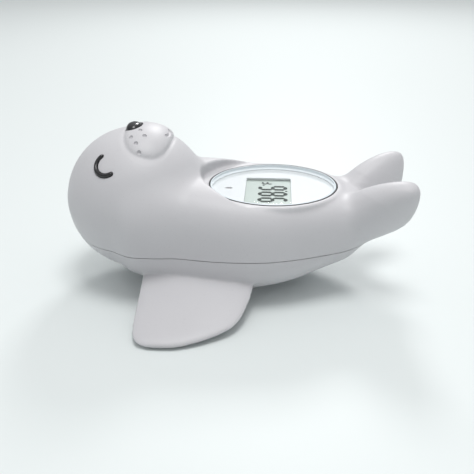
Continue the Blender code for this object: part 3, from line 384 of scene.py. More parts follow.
def body_mesh(name, inset, head_rings, trunk_rings, segments):
    """The trunk and the head as one loft, shrunk by the inset on all sides."""
    back = TRUNK_FRONT + TRUNK_LENGTH - inset
    reach = HEAD_RADIUS - inset
    quarter = pi / 2
    head_turn = quarter * (np.arange(head_rings) + FIRST_RING) / head_rings
    head = HEAD_CENTRE.x - reach * np.cos(head_turn)
    trunk_turn = quarter * np.arange(trunk_rings) / trunk_rings
    trunk = HEAD_CENTRE.x + (back - HEAD_CENTRE.x) * np.sin(trunk_turn)
    x = np.concatenate((head, trunk))[:, None]
    whole = TRUNK_FRONT + TRUNK_LENGTH - HEAD_CENTRE.x + HEAD_RADIUS
    axis_z = MM * smooth_curve((x - HEAD_CENTRE.x + HEAD_RADIUS) / whole, AXIS_HEIGHTS)
    angle = 2 * pi * np.arange(segments)[None, :] / segments
    first = head_reach(x, angle, axis_z, inset)
    second = trunk_reach(x, angle, axis_z, inset)
    blend = CHIN_BLEND + (CHEEK_BLEND - CHIN_BLEND) * np.sin(angle) ** 2
    near = np.maximum(blend - np.abs(first - second), 0)
    radius = np.maximum(first, second) + near**2 / (4 * blend)
    side, height = radius * np.sin(angle), axis_z + radius * np.cos(angle)
    return grid_mesh(name, np.stack((x + 0 * radius, side, height), axis=-1))


# %% [markdown]
# Pieces are cut and joined with Boolean modifiers and then baked, which means that the mesh
# with its modifiers becomes a plain mesh. Tools such as cutters are thrown away afterwards.

# %% Mesh helpers


def baked(obj):
    """The object with its modifiers applied, as a new object; the old one goes."""
    bpy.context.view_layer.update()
    graph = bpy.context.evaluated_depsgraph_get()
    mesh = bpy.data.meshes.new_from_object(obj.evaluated_get(graph))
    name = obj.name
    bpy.data.objects.remove(obj)
    return scene_object(name, mesh)


def combine(operation, obj, others):
    """Joins the object with the others or cuts them from it, one by one, and uses them up."""
    for other in others:
        modifier = obj.modifiers.new("Boolean", "BOOLEAN")
        modifier.operation = operation
        modifier.solver = "EXACT"
        modifier.object = other
    made = baked(obj)
    for other in others:
        bpy.data.objects.remove(other)
    return made


def cut(obj, *others):
    return combine("DIFFERENCE", obj, others)


def join(obj, *others):
    return combine("UNION", obj, others)


def oval_loft(name, ovals, segments=96, squareness=2.0, egg=0.0):
    """A closed solid through ovals, each a centre and its two half axes as vectors. Egg makes each
    wider at its top and narrower at its bottom by this share."""
    angle = 2 * pi * (np.arange(segments) + 0.5) / segments
    waves = (np.cos(angle), np.sin(angle))
    side, rise = (np.sign(wave) * np.abs(wave) ** (2 / squareness) for wave in waves)
    side = side * (1 + egg * rise)
    rings = [np.array(at) + np.outer(side, across) + np.outer(rise, up) for at, across, up in ovals]
    return scene_object(name, grid_mesh(name, np.array(rings)))


def upright(name, at, levels, segments=48):
    """A solid of upright axis through (height, radius) or (height, half x, half y) levels."""
    ovals = [
        (Vector((at[0], at[1], level[0])), Vector((level[1], 0, 0)), Vector((0, level[-1], 0)))
        for level in levels
    ]
    return oval_loft(name, ovals, segments)


def rod(name, at, radius, bottom, top, segments):
    """A round bar that stands upright."""
    return upright(name, at, [(bottom, radius), (top, radius)], segments)


def block(name, low, high):
    """A box from its lowest to its highest corner."""
    bm = bmesh.new()
    bmesh.ops.create_cube(bm, size=1)
    low, high = Vector(low), Vector(high)
    bmesh.ops.scale(bm, vec=high - low, verts=bm.verts)
    bmesh.ops.translate(bm, vec=(low + high) / 2, verts=bm.verts)
    return scene_object(name, mesh_from(name, bm))


def without_flaps(obj):
    """Drops the hair-thin flaps that a Boolean can leave: two triangles back to back."""
    bm = bmesh.new()
    bm.from_mesh(obj.data)
    bmesh.ops.triangulate(bm, faces=bm.faces)
    bm.verts.index_update()
    twins = {}
    for face in bm.faces:
        twins.setdefault(frozenset(vert.index for vert in face.verts), []).append(face)
    flaps = [face for faces in twins.values() if len(faces) > 1 for face in faces]
    bmesh.ops.delete(bm, geom=flaps, context="FACES")
    bm.to_mesh(obj.data)
    bm.free()
    print(obj.name, len(flaps), "faces of flaps dropped")
    return obj


def finish_piece(obj, material, slot, *nodes, sharp=32):
    """Gives a piece its material, smooth shading and its place in the frame. The slot is not used.
    """
    obj.data.materials.clear()
    obj.data.materials.append(material)
    obj.data.polygons.foreach_set("material_index", [0] * len(obj.data.polygons))
    obj.data.shade_smooth()
    obj.data.set_sharp_from_angle(angle=radians(sharp))
    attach(obj, "root")
    if nodes:
        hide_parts(*nodes)
    print(obj.name, len(obj.data.polygons), "faces")


# %% [markdown]
# The tail is two thick lobes that lean outwards, and the front flippers are broad fins that droop
# to the floor. Each is a loft of ovals whose size follows a formula along its length.

# %% Tail lobes and flippers
LOBE_CENTRE = (56.9, 13.4, 36.9)
LOBE_HALF_LENGTH = 20.7 * MM
LOBE_TOPS = (6.0, 9.8, 10.8, 10.0, 7.0)
LOBE_BOTTOMS = (-8.0, -12.0, -11.8, -9.2, 0.2)
LOBE_SQUARENESS = 2.2
LOBE_EGG = 0.22
LOBE_THICKNESSES = (10.0 * MM, 8.0 * MM, 3.9 * MM)
LOBE_SPLAY = radians(20)
LOBE_LIFT = radians(30)
LOBE_LEAN = radians(22)
LOBE_BLUNTNESS = 12
LOBE_FIRST_RING, LOBE_RING_SPAN = 0.008, 0.984
THINNEST, LOWEST = 0.05 * MM, 0.1 * MM
FIN_ROOT_Y = 18.0 * MM
FIN_SPAN = 45.0 * MM
FIN_FRONT_X = -38.2 * MM
FIN_ROOT_CHORD = 47.5 * MM
FIN_ROOT_Z = 13.0 * MM
FIN_THICKNESSES = (9.0 * MM, 3.4 * MM)
FIN_CHORDS = (1.0, 0.975, 0.93, 0.82, 0.50)
FIN_HEIGHTS = (1.0, 0.80, 0.55, 0.30, 0.13)
FIN_BLUNTNESS, FIN_ROUNDING = 12, 0.3
FIN_LAST_TURN = 89.3


def tail_lobe(name, side, inset=0.0, rings=44, segments=64):
    """A thick paddle with a blunt slanting end. Side is 1 for +Y and -1 for -Y."""
    forward = cos(LOBE_LIFT) * cos(LOBE_SPLAY)
    along = Vector((forward, side * sin(LOBE_SPLAY), sin(LOBE_LIFT))).normalized()
    lean = Matrix.Rotation(-side * LOBE_LEAN, 3, along)
    across = lean @ Vector((0, 0, 1)).cross(along).normalized()
    up = along.cross(across)
    centre = Vector((LOBE_CENTRE[0], side * LOBE_CENTRE[1], LOBE_CENTRE[2])) * MM
    ovals = []
    for i in range(rings):
        share = -cos(pi * (LOBE_FIRST_RING + LOBE_RING_SPAN * i / (rings - 1)))
        closing = (1 - abs(share) ** LOBE_BLUNTNESS) ** 0.5
        at = (share + 1) / 2
        top, bottom = (MM * float(smooth_curve(at, edge)) for edge in (LOBE_TOPS, LOBE_BOTTOMS))
        height = closing * (top - bottom) / 2 - inset
        thickness = closing * float(smooth_curve(at, LOBE_THICKNESSES)) - inset
        middle = centre + share * (LOBE_HALF_LENGTH - inset) * along + (top + bottom) / 2 * up
        ovals.append((middle, max(thickness, THINNEST) * across, max(height, LOWEST) * up))
    return oval_loft(name, ovals, segments, LOBE_SQUARENESS, LOBE_EGG)


def flipper(name, side, rings=44, segments=64):
    """A swept fin that droops to the floor at its tip."""
    ovals = []
    root, tip = FIN_THICKNESSES
    for i in range(rings):
        share = sin(radians(FIN_LAST_TURN * i / (rings - 1)))
        rounding = (1 - share**FIN_BLUNTNESS) ** FIN_ROUNDING
        chord = FIN_ROOT_CHORD * float(smooth_curve(share, FIN_CHORDS))
        thick = root + (tip - root) * share
        y = side * (FIN_ROOT_Y + share * FIN_SPAN)
        z = FIN_ROOT_Z * float(smooth_curve(share, FIN_HEIGHTS))
        centre = Vector((FIN_FRONT_X + chord / 2, y, z))
        along, up = Vector((chord * rounding / 2, 0, 0)), Vector((0, 0, thick * rounding / 2))
        ovals.append((centre, along, up))
    return oval_loft(name, ovals, segments)


# %% [markdown]
# A moulded body has no hard inside corners. The lofts are joined, the pocket for the display is
# sunk in the belly, and then the whole is remeshed into even small squares and smoothed. The
# smoothing rounds every joint by about a millimetre, as the mould does. A low oval collar keeps
# the rim of the window level where the belly falls away. Where the lobes meet the trunk the mould
# is rounder still, so there the smoothing goes on for longer. The muzzle is raised last, so that
# its crease stays crisp.

# %% Outside of both shells
WINDOW_X = 14.7 * MM
WINDOW_HALF = (27.3 * MM, 24.5 * MM)
DECK_Z = 43.0 * MM
DECK_MARGIN = 3.2 * MM
COLLAR = 1.9 * MM
COLLAR_Z = (34 * MM, DECK_Z + 0.05 * MM)
HIGH = 0.1
PAD_X = -5.0 * MM
PAD_RADIUS = 20.0 * MM
PAD_TOP = 6 * MM
FORM_RINGS, FORM_SEGMENTS = (70, 130), 192
SKIN_VOXEL = 0.62 * MM
SKIN_PASSES, CREASE_PASSES, JOINT_PASSES = 10, 3, 240
JOINT_X, JOINT_Z, JOINT_RADIUS = 50 * MM, 31 * MM, 15 * MM
JOINT_SIDE, JOINT_FADE = 5 * MM, 4 * MM
JOINT_STRENGTH = 1.6


def window_solid(name, levels, segments=128):
    """A solid in line with the window through (height, inset) levels."""
    grown = [(z, WINDOW_HALF[0] - inset, WINDOW_HALF[1] - inset) for z, inset in levels]
    return upright(name, (WINDOW_X, 0), grown, segments)


def lobe_joint(points):
    """From 0 to 1: how near points are to where the lobes grow out of the trunk."""
    x, z = (points[:, 0] - JOINT_X) / JOINT_RADIUS, (points[:, 2] - JOINT_Z) / JOINT_RADIUS
    far = x**2 + z**2
    beside = np.clip((np.abs(points[:, 1]) - JOINT_SIDE) / JOINT_FADE, 0, 1)
    return beside * np.clip(JOINT_STRENGTH * (1 - far), 0, 1)


def soften(obj, passes, group=""):
    """Adds smoothing, everywhere or in one vertex group."""
    smooth = obj.modifiers.new("Soften", "SMOOTH")
    smooth.factor = 0.5
    smooth.iterations = passes
    smooth.vertex_group = group


def outside_form():
    form = scene_object("form", body_mesh("form", 0.0, *FORM_RINGS, FORM_SEGMENTS))
    extras = []
    for side in (-1, 1):
        extras += [tail_lobe("lobe", side), flipper("flipper", side)]
    extras.append(rod("pad", (PAD_X, 0), PAD_RADIUS, 0, PAD_TOP, 96))
    form = join(form, *extras)
    pocket = window_solid("pocket", [(DECK_Z, -DECK_MARGIN), (HIGH, -DECK_MARGIN)])
    form = cut(form, pocket)
    form = join(form, window_solid("collar", [(z, -COLLAR) for z in COLLAR_Z]))
    remesh = form.modifiers.new("Remesh", "REMESH")
    remesh.mode = "VOXEL"
    remesh.voxel_size = SKIN_VOXEL
    soften(form, SKIN_PASSES)
    form = baked(form)
    points = np.empty(3 * len(form.data.vertices))
    form.data.vertices.foreach_get("co", points)
    points = points.reshape(-1, 3)
    outward = points - np.array(HEAD_CENTRE)
    outward /= np.linalg.norm(outward, axis=-1, keepdims=True)
    points += muzzle_rise(points)[:, None] * outward
    form.data.vertices.foreach_set("co", points.ravel())
    near_lobes = form.vertex_groups.new(name="near lobes")
    weights = lobe_joint(points)
    for level in range(1, 6):
        chosen = np.nonzero(np.round(weights * 5) == level)[0]
        near_lobes.add([int(i) for i in chosen], level / 5, "REPLACE")
    soften(form, CREASE_PASSES)
    soften(form, JOINT_PASSES, near_lobes.name)
    return baked(form)


form = outside_form()
print("outside form:", len(form.data.polygons), "faces")

# %% [markdown]
# What is taken away from the outside form is built as one plain solid for each shell: the space
# inside, less the wells, posts and bosses that stand in it, plus every hole. One cut then makes
# the shell, which is far quicker than thirty cuts in a fine mesh.

# %% Wall and joint
GAP = 0.3 * MM
WALL = 2.2 * MM
SEAM_Z = 22.0 * MM
LIP_HEIGHT = 1.6 * MM
FAR = 300 * MM
SCREW_CIRCLE = 15.6 * MM


def inner_body(name, inset):
    return scene_object(name, body_mesh(name, inset, 10, 24, 36))


def hollow():
    """The space inside both shells."""
    space = inner_body("hollow", WALL)
    cores = [tail_lobe("lobe core", side, WALL, 12, 20) for side in (-1, 1)]
    space = join(space, *cores)
    lid = window_solid("lid", [(z, -DECK_MARGIN - WALL) for z in (DECK_Z - WALL, HIGH)], 48)
    return cut(space, lid)


def slab(name, bottom, top):
    """All that lies between two heights."""
    return block(name, (-FAR, -FAR, bottom), (FAR, FAR, top))


def ring_of_screws():
    """Places of the screws of the battery door."""
    angles = [radians(90 + 120 * i) for i in range(3)]
    return [(PAD_X + SCREW_CIRCLE * cos(a), SCREW_CIRCLE * sin(a)) for a in angles]


# %% Belly shell
CARD_Z = 40.7 * MM
CARD_THICKNESS = 0.8 * MM
LEDGE_TOP = CARD_Z - CARD_THICKNESS - GAP
LEDGE_WIDTH = 2.2 * MM
WELL_WALL = 1.2 * MM
BOARD_Z = 32.6 * MM
POSTS = [(WINDOW_X + x * 21.8 * MM, y * 15.3 * MM) for x in (-1, 1) for y in (-1, 1)]
POST_RADIUS = 2.6 * MM
BORE_RADIUS = 1.2 * MM
FLARE = 0.15 * MM
NOSE_AT = (-43.2 * MM, 0)
NOSE_HALF = (3.6 * MM, 5.2 * MM)
NOSE_HEIGHT = 4.0 * MM
NOSE_POCKET_Z = 64.5 * MM
NOSE_PLAY = 0.1 * MM
EYE_DIRECTION = Vector((-0.262, -0.655, 0.709))
EYE_BULGE = Vector((-0.78, -0.27, -0.55))
EYE_ARC = 5.0 * MM
EYE_ANGLES = (radians(-88), radians(80))
EYE_STROKE = 0.85 * MM
EYE_PLAY = 0.25 * MM


def eye_arc(side, count=25):
    """Points along a closed eye, laid on the head's ball. Side is 1 for the left eye, at +Y."""
    outward = EYE_DIRECTION.normalized()
    bulge = (EYE_BULGE - EYE_BULGE.dot(outward) * outward).normalized()
    along = outward.cross(bulge)
    points = []
    for i in range(count):
        angle = EYE_ANGLES[0] + (EYE_ANGLES[1] - EYE_ANGLES[0]) * i / (count - 1)
        flat = EYE_ARC * (cos(angle) * bulge + sin(angle) * along)
        point = HEAD_CENTRE + HEAD_RADIUS * (HEAD_RADIUS * outward + flat).normalized()
        points.append(Vector((point.x, -side * point.y, point.z)))
    return points


def bar_along(name, points, radius):
    """A round bar with round ends along points on the head."""
    ovals = []
    last = len(points) - 1
    ends = [(sin(a), cos(a)) for a in map(radians, (80, 60, 40, 20))]
    for i, point in enumerate(points):
        ahead = (points[min(i + 1, last)] - points[max(i - 1, 0)]).normalized()
        out = (point - HEAD_CENTRE).normalized()
        u, v = radius * ahead.cross(out).normalized(), radius * out
        if i == 0:
            ovals += [(point - ahead * radius * s, c * u, c * v) for s, c in ends]
        ovals.append((point, u, v))
        if i == last:
            ovals += [(point + ahead * radius * s, c * u, c * v) for s, c in reversed(ends)]
    return oval_loft(name, ovals, 20)


def whisker_pit(x, y):
    """A small ball half sunk in the muzzle, to be cut away. The place is in head radii."""
    centre, outward = on_muzzle(x, y)
    turn = outward.to_track_quat("Z", "Y").to_matrix()
    ovals = []
    for step in range(-75, 90, 25):
        a = radians(step)
        radius = WHISKER_RADIUS * cos(a)
        middle = centre + WHISKER_RADIUS * sin(a) * outward
        ovals.append((middle, turn @ Vector((radius, 0, 0)), turn @ Vector((0, 1.2 * radius, 0))))
    return oval_loft("pit", ovals, 16)


def stepped_slab(inset):
    """What is below the seam, less the tongue that locates the shells."""
    tongue = inner_body("tongue", inset)
    tongue = cut(tongue, slab("end", -FAR, SEAM_Z - LIP_HEIGHT))
    return cut(slab("below", -FAR, SEAM_Z), tongue)


def belly_shell():
    space = hollow()
    heights = (LEDGE_TOP - WALL, DECK_Z - WALL / 2)
    well = window_solid("well", [(z, -WELL_WALL) for z in heights], 96)
    posts = [rod("post", at, POST_RADIUS, BOARD_Z + GAP, DECK_Z, 20) for at in POSTS]
    space = cut(space, well, *posts)
    flared = [(DECK_Z + 0.5 * MM, -FLARE), (HIGH, -FLARE)]
    opening = window_solid("opening", [(LEDGE_TOP, 0), (DECK_Z - 0.5 * MM, 0), *flared])
    ledge = window_solid("ledge", [(z, LEDGE_WIDTH) for z in (BOARD_Z, DECK_Z - MM)], 96)
    bottom, top = BOARD_Z - MM, BOARD_Z + 5.5 * MM
    bores = [rod("bore", at, BORE_RADIUS, bottom, top, 16) for at in POSTS]
    grown = [half + NOSE_PLAY for half in NOSE_HALF]
    pocket = upright("nose pocket", NOSE_AT, [(z, *grown) for z in (NOSE_POCKET_Z, 80 * MM)], 64)
    peg = rod("peg hole", NOSE_AT, 1.8 * MM, 58 * MM, 66 * MM, 24)
    grooves = [bar_along("groove", eye_arc(side), EYE_STROKE + EYE_PLAY) for side in (-1, 1)]
    pits = [whisker_pit(x, side * y) for x, y in WHISKERS for side in (-1, 1)]
    mouth = np.linspace(-MOUTH_HALF_WIDTH, MOUTH_HALF_WIDTH, 9)
    lip = [on_muzzle(MOUTH_X - 2 * y * y, y)[0] for y in mouth]
    grooves.append(bar_along("mouth", lip, MOUTH_RADIUS))
    space = join(space, opening, ledge, *bores, pocket, peg, *grooves, *pits)
    space = join(space, stepped_slab((WALL + GAP) / 2))
    shell = scene_object("belly_skin", form.data.copy())
    shell = without_flaps(cut(shell, space))
    finish_piece(shell, SHELL, "grey_shell", "belly_shell")


belly_shell()

# %% Back shell
DOOR_THICKNESS = 2.3 * MM
RECESS_TOP = DOOR_THICKNESS + 3 * GAP
DOOR_RADIUS = 18.0 * MM
BAY_RADIUS = 11.0 * MM
BAY_HEIGHT = 9.4 * MM
PROBE_AT = (-31.5 * MM, 0)
PROBE_RADIUS = 3.0 * MM
STUDS = [(26.0 * MM, side * 9.0 * MM) for side in (-1, 1)]
STUD_RADIUS, STUD_HEAD = 1.25 * MM, 2.6 * MM
CHAMFER = 0.35 * MM


def back_shell():
    at = (PAD_X, 0)
    space = hollow()
    solids = [
        rod("pad block", at, PAD_RADIUS - MM, -MM, RECESS_TOP + WALL, 48),
        rod("cup", at, BAY_RADIUS + 2 * MM, -MM, BAY_HEIGHT + WALL, 48),
        rod("probe boss", PROBE_AT, 5.5 * MM, -MM, 6 * MM, 32),
    ]
    for place in ring_of_screws():
        solids.append(rod("door boss", place, 2.25 * MM, -MM, BAY_HEIGHT, 16))
    solids += [rod("stud boss", place, 5.4 * MM, -MM, 9.6 * MM, 32) for place in STUDS]
    space = cut(space, *solids)
    rim, wide = DOOR_RADIUS + GAP, DOOR_RADIUS + GAP + CHAMFER
    holes = [
        upright("recess", at, [(-MM, wide), (0, wide), (CHAMFER, rim), (RECESS_TOP, rim)], 96),
        rod("bay", at, BAY_RADIUS, -MM, BAY_HEIGHT, 64),
        rod("probe hole", PROBE_AT, PROBE_RADIUS + GAP, -MM, 12 * MM, 48),
    ]
    holes += [rod("door bore", at, BORE_RADIUS, 0, 8.4 * MM, 16) for at in ring_of_screws()]
    for place in STUDS:
        holes.append(rod("spot face", place, STUD_HEAD + GAP, -MM, 6.6 * MM, 48))
        holes.append(rod("stud hole", place, STUD_RADIUS + GAP, 0, 20 * MM, 24))
    space = join(space, *holes)
    rabbet = inner_body("rabbet", (WALL - GAP) / 2)
    rabbet = cut(rabbet, slab("low", -FAR, SEAM_Z - LIP_HEIGHT - GAP))
    space = join(space, rabbet, slab("above", SEAM_Z - GAP, FAR))
    shell = scene_object("back_skin", form.data.copy())
    shell = without_flaps(cut(shell, space))
    finish_piece(shell, SHELL, "grey_shell", "back_shell")


back_shell()
bpy.data.objects.remove(form)

# %% [markdown]
# Nose and eyes are separate pieces of polished black plastic, set in pockets. High gloss shows
# on their curves only if these are smooth, so both are lofts with many rings.

# %% Nose and eyes
PEG_RADIUS, PEG_LENGTH = 1.5 * MM, 3.4 * MM
NOSE_FULLNESS = 0.65


def black_gloss():
    paint = Paint("black gloss plastic", Base_Color=(0.012, 0.012, 0.014), Coat_Weight=0.15)
    smear = paint.noise(2.5 * MM, 3.0)
    paint.set("Roughness", 0.20 + 0.10 * smear)
    paint.bump(paint.noise(1.2 * MM), 0.01 * MM, 0.3)
    return paint.material


BLACK = black_gloss()


def nose():
    base = NOSE_POCKET_Z + GAP
    levels = [(z, PEG_RADIUS, PEG_RADIUS) for z in (base - PEG_LENGTH, base)]
    for i in range(21):
        angle = radians(4.2 * i)
        share = cos(angle) ** NOSE_FULLNESS
        height = base + NOSE_HEIGHT * sin(angle)
        levels.append((height, NOSE_HALF[0] * share, NOSE_HALF[1] * share))
    button = upright("nose_button", NOSE_AT, levels, 64)
    finish_piece(button, BLACK, "black_gloss", "nose", sharp=50)


def eyes():
    for side, word in ((-1, "right"), (1, "left")):
        arc = bar_along(f"{word}_eye_arc", eye_arc(side), EYE_STROKE)
        finish_piece(arc, BLACK, "black_gloss", f"{word}_eye", sharp=60)


nose()
eyes()

# %% [markdown]
# The window is a clear moulded cap in a thin dark seal. The cap is a plate with a rim that stands
# on the card, so seen from the side the rim makes a pale line and the far wall a bluish one. Part
# of that is painted light: a glow on the rim, pale near the card and bluish higher up.

# %% Lens and seal
GASKET_OUTSIDE = 0.1 * MM
GASKET_WIDTH = 0.45 * MM
LENS_TOP = DECK_Z + 0.3 * MM
LENS_CROWN = 0.4 * MM
LENS_RIM = 0.45 * MM
LENS_ROUNDING = 0.35 * MM
MILKY_RIM, RIM_STOPS = 0.75, (0.893, 0.908)
# Strength, steps in height and height scale of the painted glow on the lens rim.
PAINTED_GLOW_STRENGTH, PAINTED_GLOW_STOPS, PAINTED_GLOW_HEIGHT = 0.55, (0.42, 0.47), 2.5 * MM


def clear_acrylic():
    """Thin clear plastic: light goes straight through, and it mirrors more at a low angle. Its
    rim looks milky and carries a painted glow, pale near the card and bluish higher up."""
    paint = Paint("clear acrylic", Base_Color=(0.62, 0.66, 0.68), IOR=1.49)
    paint.set("Roughness", 0.03 + 0.03 * paint.noise(6 * MM))
    clear = paint.node("ShaderNodeBsdfTransparent", sockets={"Color": (0.985, 0.993, 0.998)})
    outside = 1.0 - paint.node("ShaderNodeNewGeometry", output="Backfacing")
    low_angle = outside * paint.node("ShaderNodeFresnel", sockets={"IOR": 1.28})
    split = "ShaderNodeSeparateXYZ"
    x, y, z = (paint.node(split, sockets={0: paint.place()}, output=axis) for axis in "XYZ")
    along, across = (x - WINDOW_X) * (1 / WINDOW_HALF[0]), y * (1 / WINDOW_HALF[1])
    rim = paint.ramp(along * along + across * across, *RIM_STOPS)
    # Painted light: the rim glows, pale near the card and bluish higher up, whatever the lamps do.
    height = (z - CARD_Z) * (1 / PAINTED_GLOW_HEIGHT)
    painted_glow = paint.mix(paint.ramp(height, *PAINTED_GLOW_STOPS), (0.90, 0.93, 0.94), (0.38, 0.44, 0.47))
    paint.set("Emission Color", paint.mix(rim, (0.0, 0.0, 0.0), painted_glow))
    paint.set("Emission Strength", PAINTED_GLOW_STRENGTH)
    mixed = paint.tree.nodes.new("ShaderNodeMixShader")
    paint.feed(mixed.inputs[0], low_angle + MILKY_RIM * rim)
    paint.feed(mixed.inputs[1], clear)
    paint.tree.links.new(paint.shader.outputs[0], mixed.inputs[2])
    paint.tree.links.new(mixed.outputs[0], paint.tree.nodes["Material Output"].inputs["Surface"])
    return paint.material


def rubber(name, colour):
    paint = Paint(name)
    dust = paint.noise(0.6 * MM, 3.0)
    paint.set("Base Color", paint.mix(dust, colour, tint(colour, 1.8)))
    paint.set("Roughness", 0.55 + 0.20 * dust)
    paint.bump(paint.noise(0.15 * MM), 0.02 * MM, 0.4)
    return paint.material


SEAL_RUBBER = rubber("dark seal rubber", (0.035, 0.037, 0.04))


def lens():
    outer = GASKET_OUTSIDE + GASKET_WIDTH + 0.1 * MM
    inner, shoulder = outer + LENS_RIM, outer + LENS_ROUNDING
    under = LENS_TOP - 1.6 * MM
    levels = [(under, inner + 8 * MM), (under, inner), (CARD_Z + GAP, inner), (CARD_Z + GAP, outer)]
    levels += [(LENS_TOP - LENS_ROUNDING, outer), (LENS_TOP - 0.12 * MM, outer + 0.1 * MM)]
    levels.append((LENS_TOP, shoulder))
    for i in range(1, 12):
        share = i / 12
        height = LENS_TOP + LENS_CROWN * (1 - (1 - share) ** 2)
        levels.append((height, shoulder + 22 * MM * share))
    cap = window_solid("lens_cap", levels, 160)
    finish_piece(cap, clear_acrylic(), "clear_lens", "display_lens", sharp=30)


def gasket():
    top, edge = DECK_Z + 0.2 * MM, GASKET_OUTSIDE
    outer = [(CARD_Z + GAP, edge), (top - 0.2 * MM, edge)]
    outer += [(top - 0.05 * MM, edge + 0.05 * MM), (top, edge + 0.2 * MM)]
    ring = window_solid("window_seal", outer, 160)
    hole = window_solid("hole", [(z, edge + GASKET_WIDTH) for z in (CARD_Z - MM, top + MM)], 160)
    ring = cut(ring, hole)
    finish_piece(ring, SEAL_RUBBER, "black_rubber", "lens_gasket", sharp=40)


lens()
gasket()

# %% [markdown]
# Behind the lens lies a bare white card with an oblong opening for the display and a small hole
# for the warning lamp. The display is a sandwich of glass on a grey-green reflector.

# %% Card
LCD_X = 12.7 * MM
LCD_Y = -1.9 * MM
LCD_VIEW = (19.4 * MM, 29.2 * MM)
LAMP_AT = (-4.1 * MM, 0)
LAMP_HOLE = (1.6 * MM, 0.9 * MM)
CUT_HEIGHTS = (30 * MM, 60 * MM)


def white_card():
    paint = Paint("white card")
    fibre = paint.noise(0.5 * MM, 4.0)
    paint.set("Base Color", paint.mix(fibre, (0.69, 0.70, 0.70), (0.73, 0.735, 0.735)))
    paint.set("Roughness", 0.38 + 0.12 * fibre)
    paint.bump(fibre, 0.01 * MM, 0.4)
    return paint.material


def card():
    sheet = window_solid("face_sheet", [(CARD_Z - CARD_THICKNESS, GAP), (CARD_Z, GAP)], 160)
    long, wide = LCD_VIEW[0] / 2, LCD_VIEW[1] / 2
    low, high = CUT_HEIGHTS
    slot = block("view", (LCD_X - long, LCD_Y - wide, low), (LCD_X + long, LCD_Y + wide, high))
    bevel = slot.modifiers.new("Bevel", "BEVEL")
    bevel.width = 0.8 * MM
    bevel.segments = 5
    bevel.affect = "EDGES"
    hole = upright("hole", LAMP_AT, [(z, *LAMP_HOLE) for z in CUT_HEIGHTS], 48)
    sheet = cut(sheet, baked(slot), hole)
    finish_piece(sheet, white_card(), "white_card", "face_card")


card()

# %% [markdown]
# The digits are seven-segment shapes. Each segment is a short bar with pointed ends, and a digit
# is the list of segments that are dark. They read from the tail's end, with their tops to the head.

# %% Display
LCD_TOP = LEDGE_TOP
LCD_GLASS = (22.0 * MM, 30.0 * MM, 2.6 * MM)
DIGIT_TOP_X = 8.4 * MM
DIGIT_HEIGHT = 12.5 * MM
DIGIT_WIDTH = 5.3 * MM
STROKE = 1.7 * MM
DIGITS = (("9", -9.8), ("8", -3.3), ("6", 3.4))
UNIT = (3.2 * MM, 5.2 * MM, 0.95 * MM)
UNIT_RIGHT, UNIT_DOWN = 9.4 * MM, 3.9 * MM
DOT_RADIUS = 0.55 * MM
SEGMENTS = {"8": "abcdefg", "9": "abcdfg", "6": "acdefg", "F": "aefg"}
INK_GAP = 0.01 * MM
INK_THICKNESS = 0.05 * MM


def display_glass():
    paint = Paint("display glass", IOR=1.4)
    cloud = paint.noise(8 * MM)
    paint.set("Base Color", paint.mix(cloud, (0.43, 0.49, 0.44), (0.47, 0.53, 0.48)))
    paint.set("Roughness", 0.34 + 0.06 * cloud)
    return paint.material


def digit_ink():
    paint = Paint("display ink", IOR=1.2)
    cloud = paint.noise(1.5 * MM)
    paint.set("Base Color", paint.mix(cloud, (0.030, 0.038, 0.030), (0.042, 0.05, 0.042)))
    paint.set("Roughness", 0.60 + 0.05 * paint.noise(3 * MM))
    return paint.material


def bar_outline(start, end, width):
    """A bar with pointed ends, as flat (right, up) points."""
    along = (end - start).normalized()
    side = Vector((-along.y, along.x)) * width / 2
    tip = along * width / 2
    return [start, start + tip + side, end - tip + side, end, end - tip - side, start + tip - side]


def segment_outlines(letters, width, height, stroke):
    """The outlines of the dark segments of one digit, from its middle. The corners are top, middle
    and bottom, a capital is on the right."""
    x, y = (width - stroke) / 2, (height - stroke) / 2
    corners = {"t": (-x, y), "T": (x, y), "m": (-x, 0), "M": (x, 0), "b": (-x, -y), "B": (x, -y)}
    ends = {"a": "tT", "b": "TM", "c": "MB", "d": "bB", "e": "mb", "f": "tm", "g": "mM"}
    outlines = []
    for letter in letters:
        start, end = (Vector(corners[name]) for name in ends[letter])
        gap = (end - start).normalized() * 0.1 * stroke
        outlines.append(bar_outline(start + gap, end - gap, stroke))
    return outlines


def ink_mesh(name, flats):
    """Thin solids on the glass from flat outlines in (right, up) of the reader."""
    bm = bmesh.new()
    for outline in flats:
        places = [(DIGIT_TOP_X + DIGIT_HEIGHT / 2 - up, right) for right, up in outline]
        low = [bm.verts.new((x, y, LCD_TOP + INK_GAP)) for x, y in places]
        high = [bm.verts.new((x, y, LCD_TOP + INK_GAP + INK_THICKNESS)) for x, y in places]
        bm.faces.new(low)
        bm.faces.new(high)
        for i in range(len(places)):
            j = (i + 1) % len(places)
            bm.faces.new((low[i], low[j], high[j], high[i]))
    bmesh.ops.recalc_face_normals(bm, faces=bm.faces)
    return mesh_from(name, bm)


def dot_outline(x, y, count=12):
    turns = [2 * pi * i / count for i in range(count)]
    return [Vector((x + DOT_RADIUS * cos(a), y + DOT_RADIUS * sin(a))) for a in turns]


